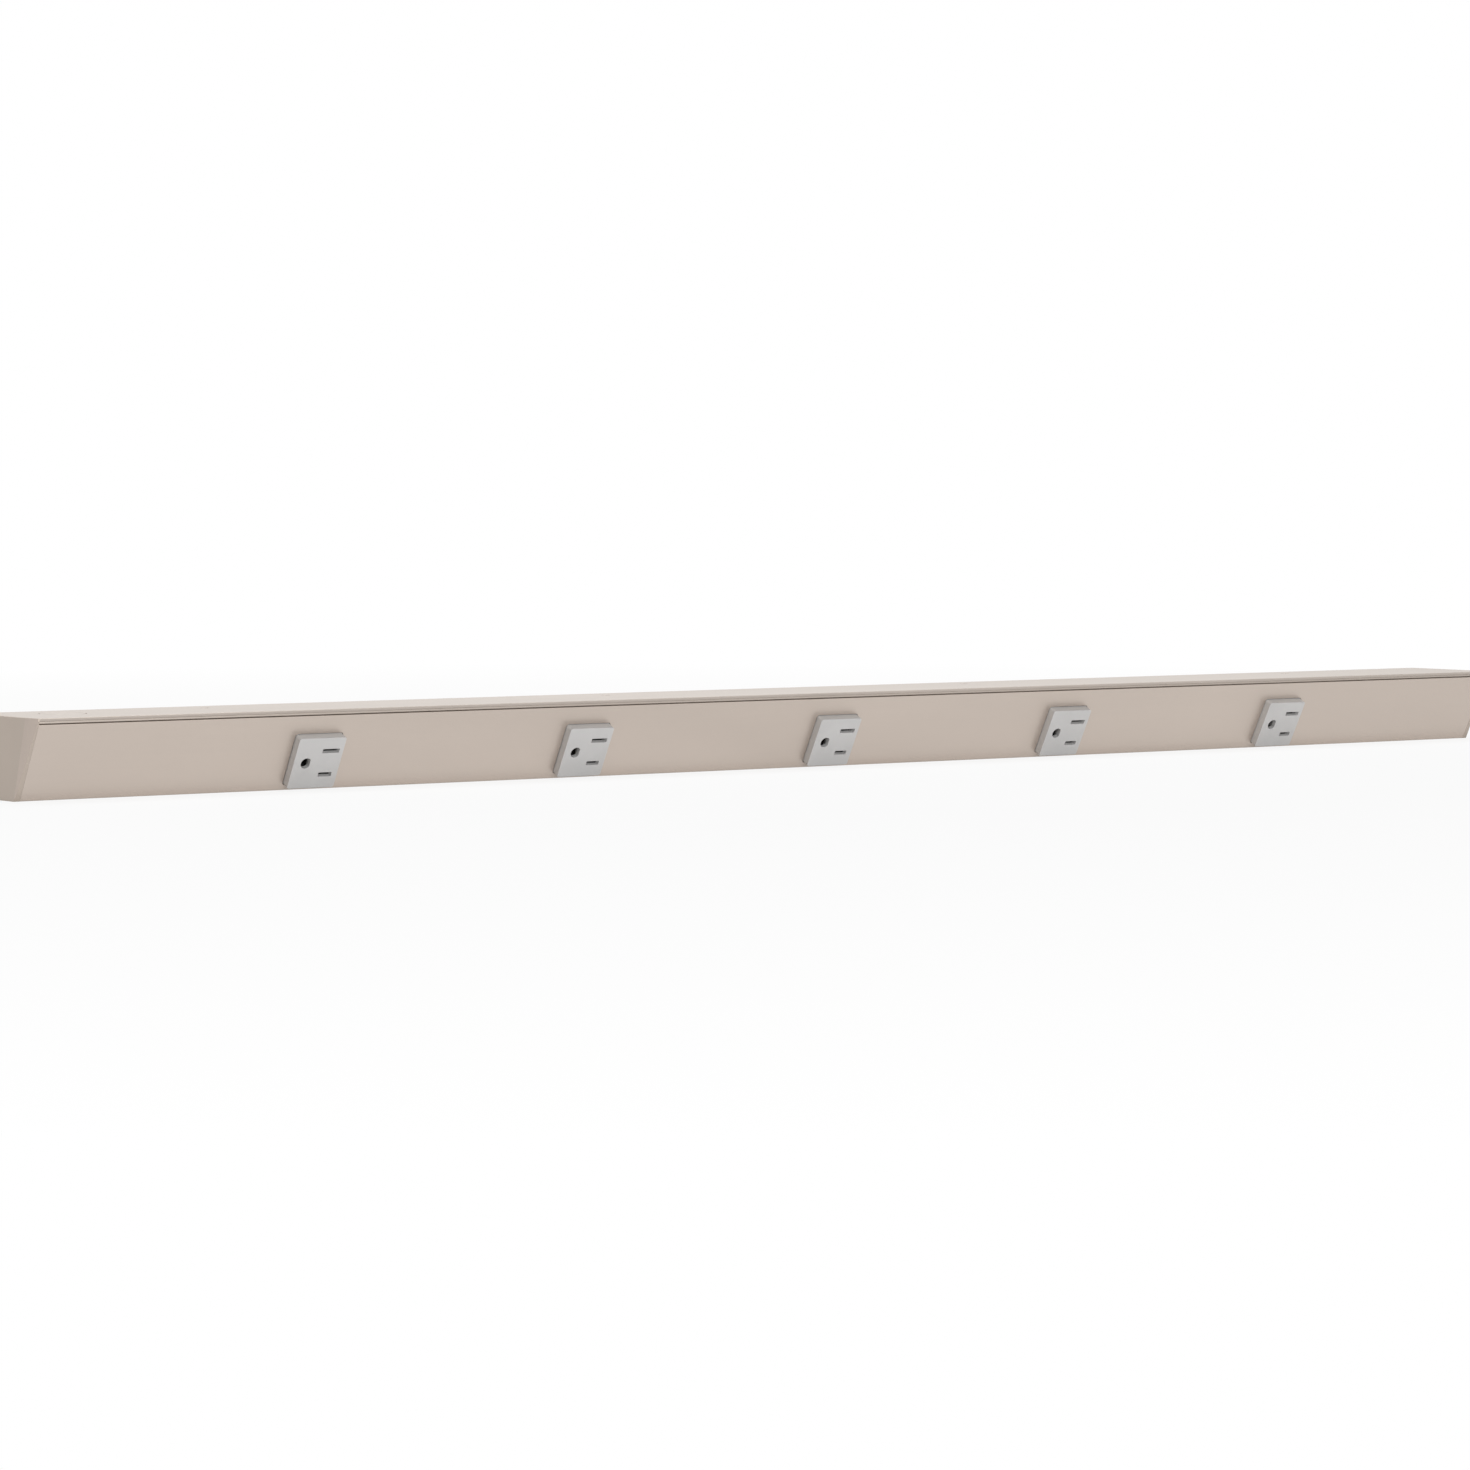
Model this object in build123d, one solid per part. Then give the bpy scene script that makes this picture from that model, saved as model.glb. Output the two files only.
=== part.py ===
from build123d import *
from math import atan2, cos, sin
import os

os.makedirs("parts", exist_ok=True)

# Whole strip: X runs along it, the wall is at +Y and the cabinet above, with z = 0 on the top face
LENGTH = 914.4
DEPTH = 63.5
HEIGHT = 38.1
FACE_SETBACK = 19.5
WALL = 1.4
FLOOR_CORNER_R = 1.0
BACK_Y = DEPTH / 2
FRONT_Y = -DEPTH / 2
FLOOR_Z = -HEIGHT
LEAN = atan2(FACE_SETBACK, HEIGHT - WALL)

# Clearances, each one a fit between two named pieces
SLIDE_CLEAR = 0.2
SEAT_CLEAR = 0.05
CUTOUT_CLEAR = 0.3
RUNNING_CLEAR = 0.05
SCREW_CLEAR = 0.05
WIRE_CLEAR = 0.05

# End caps, each with a corner facet that narrows from the top to nothing at the bottom
CAP_T = 3.0
CAP_BEVEL_X = 2.2
CAP_BEVEL_Y = 8.0
CAP_CORNER_R = 1.2
CAP_LUG = 5.0
CAP_LUG_T = 2.0
TOP_LUG_W = 14.0
FLOOR_LUG_FRONT = -7.0
FLOOR_LUG_BACK = 2.0
BODY_LENGTH = LENGTH - 2 * (CAP_T + SEAT_CLEAR)

# Seam along the top of the front face, where the cover slides into the channel
SEAM_H = 1.5
SEAM_D = 2.9
RIB = 1.3
FLANGE_REACH = 7.2
HOOK_LAP = 2.1
TONGUE_Y = FRONT_Y + SEAM_D + RIB + SLIDE_CLEAR
HOOK_Y = FRONT_Y + FLANGE_REACH
FLANGE_TOP_Z = -WALL - SEAM_H

# Shelf of the channel that carries the cover's screws
SHELF_DEPTH = 10.0
SHELF_MARGIN = 2.8
SHELF_Z = FLOOR_Z + WALL + SEAT_CLEAR
COVER_SCREW_INSET = 57.2
COVER_SCREW_X = [-LENGTH / 2 + COVER_SCREW_INSET, -LENGTH / 6, LENGTH / 6, LENGTH / 2 - COVER_SCREW_INSET]
COVER_SCREW_Y = BACK_Y - WALL - SHELF_DEPTH + SHELF_MARGIN

# Screw ports in the extrusions
PORT_R = 2.8
PORT_BORE_R = 1.45
PORT_SLOT = 1.3
PORT_INSET = 2.2
COVER_PORT_Y = 6.0
CAP_SCREW_YZ = [
    (BACK_Y - WALL - PORT_INSET, -WALL - PORT_INSET),
    (BACK_Y - WALL - PORT_INSET, SHELF_Z + WALL + PORT_INSET),
    (COVER_PORT_Y, FLOOR_Z + WALL + PORT_INSET),
]

# Screws
SCREW_R = PORT_BORE_R - SCREW_CLEAR
SCREW_HEAD_R = 2.7
CAP_SCREW_L = 12.0
COVER_SCREW_L = 5.0
COVER_HEAD_H = 1.25
CAP_HEAD_H = 1.6
RECESS_L = 1.15 * SCREW_HEAD_R
RECESS_W = 0.7

# Holes in the channel: four for the cabinet, and two punched knockouts for the supply cable
MOUNT_COUNT = 4
MOUNT_PITCH = LENGTH / MOUNT_COUNT
MOUNT_R = 2.25
MOUNT_Y = 14.0
KNOCKOUT_R = 11.1
KNOCKOUT_CUT = 0.6
KNOCKOUT_TAB = 2.4
KNOCKOUT_INSET = 34.0
KNOCKOUT_X = -LENGTH / 2 + KNOCKOUT_INSET
KNOCKOUT_TOP_Y = 4.0
KNOCKOUT_BACK_Z = -18.0

# Receptacles: u along the strip, v up the slant, w out of the front face
OUTLETS = 5
PITCH = LENGTH / (OUTLETS + 1)
CENTRE_DOWN = 25.1
CENTRE_Y = FRONT_Y + CENTRE_DOWN * sin(LEAN)
CENTRE_Z = -WALL - CENTRE_DOWN * cos(LEAN)
FACE_W = 25.4
FACE_H = 27.0
FACE_PROUD = 4.0
FACE_WALL = 1.5
FRONT_WALL = 2.4
FACE_CORNER_R = 1.2
FACE_EDGE = 0.4
LIP_W = 31.0
LIP_H = 29.0
LIP_T = 1.6
LIP_FRONT = -WALL - SEAT_CLEAR
LIP_BACK = LIP_FRONT - LIP_T
RIB_NOSE = 0.5
RIB_REACH = 1.0

# Blade and pin openings, with their centres in a line 11.9 mm from pin to blades
PIN_U = -5.95
BLADE_U = 5.95
BLADE_V = 6.35
NEUTRAL_L = 9.0
HOT_L = 7.2
SLOT_W = 2.2
PIN_R = 2.75
PIN_FLAT = 2.1

# Shutter, which slides up the slant and clears both slots at the end of its travel
SHUTTER_TRAVEL = 3.2
SHUTTER_FRONT = FACE_PROUD - FRONT_WALL - RUNNING_CLEAR
SHUTTER_T = 2.3
SHUTTER_BACK = SHUTTER_FRONT - SHUTTER_T
SHUTTER_LEFT = -1.4
SHUTTER_RIGHT = FACE_W / 2 - FACE_WALL - 2 * RUNNING_CLEAR
SPINE_W = 2.6
SLOT_COVER = 0.35
BAR_HALF = SHUTTER_TRAVEL - SLOT_W / 2 - SLOT_COVER
RAMP_FOOT = 0.6
RAMP_LAND = 0.8
GUIDE_W = 1.2
SPRING_T = 0.14
SPRING_W = 1.7
SPRING_FOLDS = 4
SPRING_MARGIN = 0.2

# Rear moulding and what it holds
DECK = SHUTTER_BACK - RUNNING_CLEAR
BASE_FRONT = LIP_BACK - SEAT_CLEAR
BASE_BACK = -17.0
BASE_W = 26.8
BASE_H = 24.8
BASE_FLOOR = 1.5
BASE_CORNER = 1.0
POCKET_HALF = 2.55
POCKET_MARGIN = 0.4
PIN_POCKET_U = 5.9
PIN_POCKET_V = 7.2
CONTACT_T = 0.7
CONTACT_MOUTH = -5.0
BLADE_GRIP = 1.3
PIN_GRIP = 4.4
PIN_CONTACT_L = 4.4
MOUTH_FLARE = 0.45
MOUTH_H = 1.8
WIRE_R = 1.3
CORE_R = 0.8
WIRE_W = -19.0
FORK_ARM = 0.9
FORK_MARGIN = 0.4
FORK_END = WIRE_W - WIRE_R - FORK_MARGIN
COMB_U = 9.6
COMB_T = 1.6
COMB_HALF = 9.4

# Wires, and the lug and screw that ground the channel
WIRE_OVERRUN = 15.0
WIRE_INSET = 57.2
WIRE_RIGHT_X = 2 * PITCH + WIRE_OVERRUN
WIRE_LEFT_X = -LENGTH / 2 + WIRE_INSET
STRIPPED = 11.0
LUG_INSET = 62.0
LUG_X = -LENGTH / 2 + LUG_INSET
LUG_R = 4.4
LUG_T = 0.8
LUG_BARREL_R = 2.1
LUG_BARREL_L = 7.0
LUG_BARREL_GAP = 1.0
LUG_NECK = 2.5
LUG_NECK_W = 1.4 * LUG_BARREL_R
WIRE_IN_LUG = 6.0
GROUND_SCREW_R = 2.0
GROUND_HEAD_R = 4.0
GROUND_HEAD_H = 2.4
GROUND_SLOT = 0.9
GROUND_BEND_R = 8.0
GROUND_BEND_RUN = 24.0
WIRE_SIDES = 12


def section_point(v, w):
    """The y and z of the point v up the slant and w out of the face from a receptacle's centre."""
    y = CENTRE_Y - v * sin(LEAN) - w * cos(LEAN)
    z = CENTRE_Z + v * cos(LEAN) - w * sin(LEAN)
    return (y, z)


def face_y(z):
    """The y of the front face's outer surface at height z."""
    return FRONT_Y - (z + WALL) * FACE_SETBACK / (HEIGHT - WALL)


def seat(number):
    """The plane of receptacle 1 to 5: its origin on the front face, its x axis along the strip."""
    x = (number - (OUTLETS + 1) / 2) * PITCH
    return Plane(origin=(x, CENTRE_Y, CENTRE_Z), x_dir=(1, 0, 0), z_dir=(0, -cos(LEAN), -sin(LEAN)))


def bar(y0, y1, z0, z1):
    """A rectangle of the cross-section, from its limits."""
    return Pos((y0 + y1) / 2, (z0 + z1) / 2) * Rectangle(y1 - y0, z1 - z0)


def block(u0, u1, v0, v1, w0, w1):
    """A box from its limits."""
    return Pos((u0 + u1) / 2, (v0 + v1) / 2, (w0 + w1) / 2) * Box(u1 - u0, v1 - v0, w1 - w0)


def screw_port(y, z, side):
    """A C-shaped boss for a screw that runs along the extrusion, open towards one side."""
    ring = Circle(PORT_R) - Circle(PORT_BORE_R)
    slot = Pos(side * PORT_R / 2, 0) * Rectangle(PORT_R, PORT_SLOT)
    return Pos(y, z) * (ring - slot)


def along_strip(profile):
    """The extrusion of a cross-section over the length between the end caps."""
    return extrude(Plane.YZ * profile, BODY_LENGTH / 2, both=True)


def countersunk_screw(length, head_h):
    """A screw with its flat head at z = 0, its shank down and a cross recess."""
    head = Pos(0, 0, -head_h / 2) * Cone(SCREW_R, SCREW_HEAD_R, head_h)
    shank = Pos(0, 0, -length / 2) * Cylinder(SCREW_R, length)
    recess = Box(RECESS_L, RECESS_W, head_h) + Box(RECESS_W, RECESS_L, head_h)
    return head + shank - recess


def countersink(length, head_h):
    """The hole for a countersunk screw, a little wider all round."""
    cone = Cone(SCREW_R + SCREW_CLEAR, SCREW_HEAD_R + SCREW_CLEAR, head_h)
    bore = Pos(0, 0, -length / 2) * Cylinder(SCREW_R + SCREW_CLEAR, length)
    return Pos(0, 0, -head_h / 2) * cone + bore


def save(shape, name):
    """Write one node's STEP file."""
    shape.label = name
    export_step(shape, f"parts/{name}.step")


# Base channel: top plate, back wall, shelf and the hook that takes the cover's upper edge
channel_profile = bar(FRONT_Y, BACK_Y, -WALL, 0)
channel_profile += bar(BACK_Y - WALL, BACK_Y, SHELF_Z, 0)
channel_profile += bar(BACK_Y - WALL - SHELF_DEPTH, BACK_Y, SHELF_Z, SHELF_Z + WALL)
channel_profile += bar(FRONT_Y + SEAM_D, FRONT_Y + SEAM_D + RIB, FLANGE_TOP_Z + SLIDE_CLEAR, -WALL)
hook_top = FLANGE_TOP_Z - WALL - SLIDE_CLEAR
channel_profile += bar(HOOK_Y + SLIDE_CLEAR, HOOK_Y + SLIDE_CLEAR + WALL, hook_top - WALL, -WALL)
channel_profile += bar(HOOK_Y - HOOK_LAP, HOOK_Y + SLIDE_CLEAR + WALL, hook_top - WALL, hook_top)
for port_y, port_z in CAP_SCREW_YZ[:2]:
    channel_profile += screw_port(port_y, port_z, -1)
base_channel = along_strip(channel_profile)

mount_hole = Cylinder(MOUNT_R, 4 * WALL)
first_mount = -MOUNT_PITCH * (MOUNT_COUNT - 1) / 2
for index in range(MOUNT_COUNT):
    base_channel -= Pos(first_mount + index * MOUNT_PITCH, MOUNT_Y, -WALL / 2) * mount_hole

knockout_ring = Circle(KNOCKOUT_R) - Circle(KNOCKOUT_R - KNOCKOUT_CUT)
knockout_ring -= Rectangle(3 * KNOCKOUT_R, KNOCKOUT_TAB)
knockout = extrude(knockout_ring, WALL, both=True)
base_channel -= Pos(KNOCKOUT_X, KNOCKOUT_TOP_Y, -WALL / 2) * knockout
base_channel -= Pos(KNOCKOUT_X, BACK_Y - WALL / 2, KNOCKOUT_BACK_Z) * Rot(90, 0, 0) * knockout

ground_y, ground_z = section_point(0, WIRE_W)
ground_bore = Cylinder(GROUND_SCREW_R + SCREW_CLEAR, 4 * WALL)
base_channel -= Pos(LUG_X, BACK_Y, ground_z) * Rot(90, 0, 0) * ground_bore
shelf_bore = Cylinder(SCREW_R + SCREW_CLEAR, 4 * WALL)
for x in COVER_SCREW_X:
    base_channel -= Pos(x, COVER_SCREW_Y, SHELF_Z) * shelf_bore
save(base_channel, "base_channel")

# Front cover: the leaning face, the floor, the tongue that hangs in the channel and the ribs
# that trap the receptacles' lips
face_wall = make_face(
    Polyline(
        (face_y(FLANGE_TOP_Z), FLANGE_TOP_Z),
        (face_y(FLOOR_Z), FLOOR_Z),
        (face_y(FLOOR_Z) + WALL / cos(LEAN), FLOOR_Z),
        (face_y(FLANGE_TOP_Z) + WALL / cos(LEAN), FLANGE_TOP_Z),
        close=True,
    )
)
cover_profile = face_wall + bar(face_y(FLOOR_Z), BACK_Y, FLOOR_Z, FLOOR_Z + WALL)
cover_profile += bar(face_y(FLANGE_TOP_Z) + WALL, HOOK_Y, FLANGE_TOP_Z - WALL, FLANGE_TOP_Z)
cover_profile += bar(TONGUE_Y, TONGUE_Y + WALL, FLANGE_TOP_Z, -WALL - SLIDE_CLEAR)
upper_rib = make_face(
    Polyline(
        section_point(LIP_H / 2 + SLIDE_CLEAR, -WALL / 2),
        section_point(LIP_H / 2 + SLIDE_CLEAR, BASE_FRONT),
        section_point(LIP_H / 2 - RIB_NOSE, BASE_FRONT),
        section_point(LIP_H / 2 + SLIDE_CLEAR, BASE_FRONT - RIB_REACH),
        section_point(LIP_H / 2 + SLIDE_CLEAR + RIB, BASE_FRONT - RIB_REACH),
        section_point(LIP_H / 2 + SLIDE_CLEAR + RIB, -WALL / 2),
        close=True,
    )
)
cover_profile += upper_rib
lip_foot_y, lip_foot_z = section_point(-LIP_H / 2, LIP_BACK)
rib_y = lip_foot_y + SEAT_CLEAR
cover_profile += bar(rib_y, rib_y + RIB, FLOOR_Z + WALL / 2, lip_foot_z + RIB_REACH)
cover_profile += screw_port(*CAP_SCREW_YZ[2], 1)
corner = cover_profile.vertices().sort_by_distance((face_y(FLOOR_Z), FLOOR_Z, 0))[0]
cover_profile = fillet(corner, FLOOR_CORNER_R)
front_cover = along_strip(cover_profile)

window = RectangleRounded(
    FACE_W + 2 * CUTOUT_CLEAR, FACE_H + 2 * CUTOUT_CLEAR, FACE_CORNER_R + CUTOUT_CLEAR
)
window_cut = extrude(window, 1.5 * WALL, both=True)
for number in range(1, OUTLETS + 1):
    front_cover -= seat(number) * window_cut
for x in COVER_SCREW_X:
    hole = countersink(4 * WALL, COVER_HEAD_H)
    front_cover -= Pos(x, COVER_SCREW_Y, FLOOR_Z) * Rot(180, 0, 0) * hole
save(front_cover, "front_cover")

# End caps: a plate with the outline of the strip, its front corner cut by one slanting plane
cap_outline = make_face(
    Polyline(
        (FRONT_Y, 0),
        (FRONT_Y, -WALL),
        (face_y(FLOOR_Z), FLOOR_Z),
        (BACK_Y, FLOOR_Z),
        (BACK_Y, 0),
        close=True,
    )
)
outer_x = -LENGTH / 2
plate = extrude(Plane.YZ.offset(outer_x) * cap_outline, CAP_T)
facet_side = Vector(0, -CAP_BEVEL_Y, 0) + Vector(CAP_BEVEL_X, 0, 0)
facet_down = Vector(0, face_y(FLOOR_Z) - FRONT_Y - CAP_BEVEL_Y, FLOOR_Z)
facet = Plane(
    origin=(outer_x, FRONT_Y + CAP_BEVEL_Y, 0), x_dir=facet_side, z_dir=facet_down.cross(facet_side)
)
plate = split(plate, bisect_by=facet, keep=Keep.BOTTOM)
back_edges = plate.edges().filter_by(Axis.X).group_by(Axis.Y)[-1]
plate = fillet(back_edges, CAP_CORNER_R)
lug_x0 = outer_x + CAP_T
lug_y = HOOK_Y + 2 * WALL + SLIDE_CLEAR
top_lug_z = -WALL - SLIDE_CLEAR
top_lug = block(
    lug_x0, lug_x0 + CAP_LUG, lug_y, lug_y + TOP_LUG_W, top_lug_z - CAP_LUG_T, top_lug_z
)
floor_lug_z = FLOOR_Z + WALL + SLIDE_CLEAR
floor_lug = block(
    lug_x0, lug_x0 + CAP_LUG, FLOOR_LUG_FRONT, FLOOR_LUG_BACK, floor_lug_z, floor_lug_z + CAP_LUG_T
)
end_cap = plate + top_lug + floor_lug
for y, z in CAP_SCREW_YZ:
    end_cap -= Pos(outer_x, y, z) * Rot(0, -90, 0) * countersink(3 * CAP_T, CAP_HEAD_H)
save(end_cap, "end_cap_left")
save(mirror(end_cap, Plane.YZ), "end_cap_right")

cap_screw = countersunk_screw(CAP_SCREW_L, CAP_HEAD_H)
cap_screws = []
for y, z in CAP_SCREW_YZ:
    cap_screws.append(Pos(-LENGTH / 2, y, z) * Rot(0, -90, 0) * cap_screw)
    cap_screws.append(Pos(LENGTH / 2, y, z) * Rot(0, 90, 0) * cap_screw)
save(Compound(children=cap_screws), "end_cap_screws")

cover_screw = countersunk_screw(COVER_SCREW_L, COVER_HEAD_H)
cover_screws = []
for x in COVER_SCREW_X:
    cover_screws.append(Pos(x, COVER_SCREW_Y, FLOOR_Z) * Rot(180, 0, 0) * cover_screw)
save(Compound(children=cover_screws), "cover_screws")

# Receptacle face: a box with a lip behind the cover, two blade slots and a pin hole
body_h = FACE_PROUD - LIP_BACK
shell = extrude(Plane.XY.offset(LIP_BACK) * RectangleRounded(FACE_W, FACE_H, FACE_CORNER_R), body_h)
shell = chamfer(shell.faces().sort_by(Axis.Z)[-1].edges(), FACE_EDGE)
lip = Pos(0, 0, LIP_BACK + LIP_T / 2) * Box(LIP_W, LIP_H, LIP_T)
inner_u = FACE_W / 2 - FACE_WALL
inner_v = FACE_H / 2 - FACE_WALL
ceiling = FACE_PROUD - FRONT_WALL
cavity = block(-inner_u, inner_u, -inner_v, inner_v, LIP_BACK, ceiling)
guide_right = SHUTTER_LEFT - 2 * RUNNING_CLEAR
guide = block(guide_right - GUIDE_W, guide_right, -inner_v, inner_v, SHUTTER_BACK, ceiling)
neutral_slot = Pos(BLADE_U, BLADE_V, FACE_PROUD) * Box(NEUTRAL_L, SLOT_W, 3 * FRONT_WALL)
hot_slot = Pos(BLADE_U, -BLADE_V, FACE_PROUD) * Box(HOT_L, SLOT_W, 3 * FRONT_WALL)
pin_shape = Circle(PIN_R) - Pos(PIN_FLAT + PIN_R, 0) * Rectangle(2 * PIN_R, 3 * PIN_R)
pin_hole = Pos(PIN_U, 0, FACE_PROUD) * extrude(pin_shape, 1.5 * FRONT_WALL, both=True)
receptacle_face = shell + lip - cavity + guide - neutral_slot - hot_slot - pin_hole

# Shutter: two ramped bars on one spine; both blades together push it up the slant
def ramp_bar(middle):
    """The cross-section of one bar, in v and w, with the ramp that a blade pushes on."""
    foot = middle - BAR_HALF
    head = middle + BAR_HALF
    return make_face(
        Polyline(
            (foot, SHUTTER_BACK),
            (head, SHUTTER_BACK),
            (head, SHUTTER_FRONT),
            (head - RAMP_LAND, SHUTTER_FRONT),
            (foot, SHUTTER_BACK + RAMP_FOOT),
            close=True,
        )
    )


spine_end = BLADE_V + BAR_HALF
shutter = block(
    SHUTTER_LEFT, SHUTTER_LEFT + SPINE_W, -spine_end, spine_end, SHUTTER_BACK, SHUTTER_FRONT
)
for middle in (-BLADE_V, BLADE_V):
    ramp_plane = Plane.YZ.offset(SHUTTER_LEFT)
    shutter += extrude(ramp_plane * ramp_bar(middle), SHUTTER_RIGHT - SHUTTER_LEFT)

# Shutter spring: a folded strip between the spine and the upper wall of the face
spring_v0 = spine_end + SEAT_CLEAR
spring_rise = (inner_v - SEAT_CLEAR - SPRING_T - spring_v0) / SPRING_FOLDS
spring_u = [SHUTTER_LEFT + SPRING_MARGIN, SHUTTER_LEFT + SPINE_W - SPRING_MARGIN]
spring_shape = Sketch()
for fold in range(SPRING_FOLDS):
    u0 = spring_u[fold % 2]
    u1 = spring_u[1 - fold % 2]
    v0 = spring_v0 + fold * spring_rise
    v1 = v0 + spring_rise
    leaf = Polyline((u0, v0), (u1, v1), (u1, v1 + SPRING_T), (u0, v0 + SPRING_T), close=True)
    spring_shape += make_face(leaf)
spring_w0 = (SHUTTER_FRONT + SHUTTER_BACK - SPRING_W) / 2
shutter_spring = extrude(Plane.XY.offset(spring_w0) * spring_shape, SPRING_W)

# Receptacle base: pockets for three contacts, a deck under the shutter and combs for the wires
base_outline = chamfer(Rectangle(BASE_W, BASE_H).vertices(), BASE_CORNER)
base_body = extrude(Plane.XY.offset(BASE_BACK) * base_outline, BASE_FRONT - BASE_BACK)
deck_u = inner_u - 2 * RUNNING_CLEAR
deck_v = inner_v - 2 * RUNNING_CLEAR
deck = block(-deck_u, deck_u, -deck_v, deck_v, BASE_FRONT - 1, DECK)
receptacle_base = base_body + deck
pocket_floor = BASE_BACK + BASE_FLOOR
for pocket_v, length in ((BLADE_V, NEUTRAL_L), (-BLADE_V, HOT_L)):
    half = length / 2 + POCKET_MARGIN
    pocket = block(
        BLADE_U - half, BLADE_U + half, pocket_v - POCKET_HALF, pocket_v + POCKET_HALF, pocket_floor, 1
    )
    receptacle_base -= pocket
pin_pocket = block(
    PIN_U - PIN_POCKET_U / 2, PIN_U + PIN_POCKET_U / 2, -PIN_POCKET_V / 2, PIN_POCKET_V / 2, pocket_floor, 1
)
receptacle_base -= pin_pocket
fork_half = WIRE_R + WIRE_CLEAR + FORK_ARM
tail_slot = Box(CONTACT_T + 2 * RUNNING_CLEAR, 2 * (fork_half + RUNNING_CLEAR), 4 * BASE_FLOOR)
contact_places = ((BLADE_U, BLADE_V), (BLADE_U, -BLADE_V), (PIN_U, 0))
for u, v in contact_places:
    receptacle_base -= Pos(u, v, BASE_BACK) * tail_slot
notch_half = WIRE_R + WIRE_CLEAR
notch = Box(2 * BASE_W, 2 * notch_half, 2 * (WIRE_W + notch_half - FORK_END))
for side in (-1, 1):
    comb = Pos(side * COMB_U, 0, (BASE_BACK + FORK_END) / 2)
    comb *= Box(COMB_T, 2 * COMB_HALF, BASE_BACK - FORK_END)
    for _, v in contact_places:
        comb -= Pos(0, v, FORK_END) * notch
    receptacle_base += comb


def contact(u, v, grip, length):
    """A sprung clip folded from strip, with a forked tail that straddles its wire behind the base."""
    out = grip / 2 + CONTACT_T
    bottom = pocket_floor + SEAT_CLEAR
    lip_w = CONTACT_MOUTH + MOUTH_H
    outer = [(-out - MOUTH_FLARE, bottom), (-out, CONTACT_MOUTH), (-out - MOUTH_FLARE, lip_w)]
    inner = [
        (-grip / 2 - MOUTH_FLARE, lip_w),
        (-grip / 2, CONTACT_MOUTH),
        (-grip / 2 - MOUTH_FLARE, bottom + CONTACT_T),
    ]
    mirrored = [(-a, b) for a, b in reversed(outer + inner)]
    clip_face = make_face(Polyline(*outer, *inner, *mirrored, close=True))
    clip = extrude(Plane.YZ.offset(-length / 2) * clip_face, length)
    tail = block(-CONTACT_T / 2, CONTACT_T / 2, -fork_half, fork_half, FORK_END, bottom + CONTACT_T / 2)
    reach = WIRE_R + WIRE_CLEAR
    fork = block(-1, 1, -reach, reach, FORK_END - 1, WIRE_W + reach)
    return Pos(u, v, 0) * (clip + tail - fork)


neutral_contact = contact(BLADE_U, BLADE_V, BLADE_GRIP, NEUTRAL_L - 2 * POCKET_MARGIN)
hot_contact = contact(BLADE_U, -BLADE_V, BLADE_GRIP, HOT_L - POCKET_MARGIN)
ground_contact = contact(PIN_U, 0, PIN_GRIP, PIN_CONTACT_L)

receptacle_pieces = {
    "receptacle_face": receptacle_face,
    "receptacle_base": receptacle_base,
    "neutral_contact": neutral_contact,
    "hot_contact": hot_contact,
    "ground_contact": ground_contact,
    "shutter": shutter,
    "shutter_spring": shutter_spring,
}
for number in range(1, OUTLETS + 1):
    for name, piece in receptacle_pieces.items():
        save(seat(number) * piece, f"{name}_{number}")


# Wires: one run each along the backs of all receptacles
def straight_wire(v):
    """An insulated wire along the strip at height v on the slant, stripped at its left end."""
    y, z = section_point(v, WIRE_W)
    jacket_l = WIRE_RIGHT_X - WIRE_LEFT_X
    core_l = jacket_l + STRIPPED
    jacket = Pos(WIRE_LEFT_X + jacket_l / 2, y, z) * Rot(0, 90, 0) * Cylinder(WIRE_R, jacket_l)
    core = Pos(WIRE_RIGHT_X - core_l / 2, y, z) * Rot(0, 90, 0) * Cylinder(CORE_R, core_l)
    return jacket + core


save(straight_wire(BLADE_V), "neutral_wire")
save(straight_wire(-BLADE_V), "hot_wire")

lug_axis_y = BACK_Y - WALL - SEAT_CLEAR - LUG_BARREL_R
barrel_x0 = LUG_X + LUG_R + LUG_BARREL_GAP
bend_x = seat(1).origin.X - BASE_W / 2 - GROUND_BEND_R
ground_path = FilletPolyline(
    (WIRE_RIGHT_X, ground_y, ground_z),
    (bend_x, ground_y, ground_z),
    (bend_x - GROUND_BEND_RUN, lug_axis_y, ground_z),
    (barrel_x0 + LUG_BARREL_L - WIRE_IN_LUG, lug_axis_y, ground_z),
    radius=GROUND_BEND_R,
)
wire_start = Plane(origin=ground_path @ 0, z_dir=ground_path % 0)
ground_wire = sweep(wire_start * RegularPolygon(WIRE_R, WIRE_SIDES), path=ground_path)
save(ground_wire, "ground_wire")

# Ground lug: a flat ring under the screw's head, with a barrel crimped on the wire
lug_plane_y = BACK_Y - WALL - SEAT_CLEAR - LUG_T / 2
ring = Pos(LUG_X, lug_plane_y, ground_z) * Rot(90, 0, 0) * Cylinder(LUG_R, LUG_T)
neck_l = LUG_R + LUG_NECK
neck = Pos(LUG_X + neck_l / 2, lug_plane_y, ground_z) * Box(neck_l, LUG_T, LUG_NECK_W)
barrel = Pos(barrel_x0 + LUG_BARREL_L / 2, lug_axis_y, ground_z) * Rot(0, 90, 0)
sleeve = barrel * Cylinder(LUG_BARREL_R, LUG_BARREL_L)
sleeve_bore = barrel * Cylinder(WIRE_R + WIRE_CLEAR, 2 * LUG_BARREL_L)
eye = Pos(LUG_X, lug_plane_y, ground_z) * Rot(90, 0, 0) * Cylinder(GROUND_SCREW_R + SLIDE_CLEAR, 3 * LUG_T)
save(ring + neck + sleeve - sleeve_bore - eye, "ground_lug")

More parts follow.
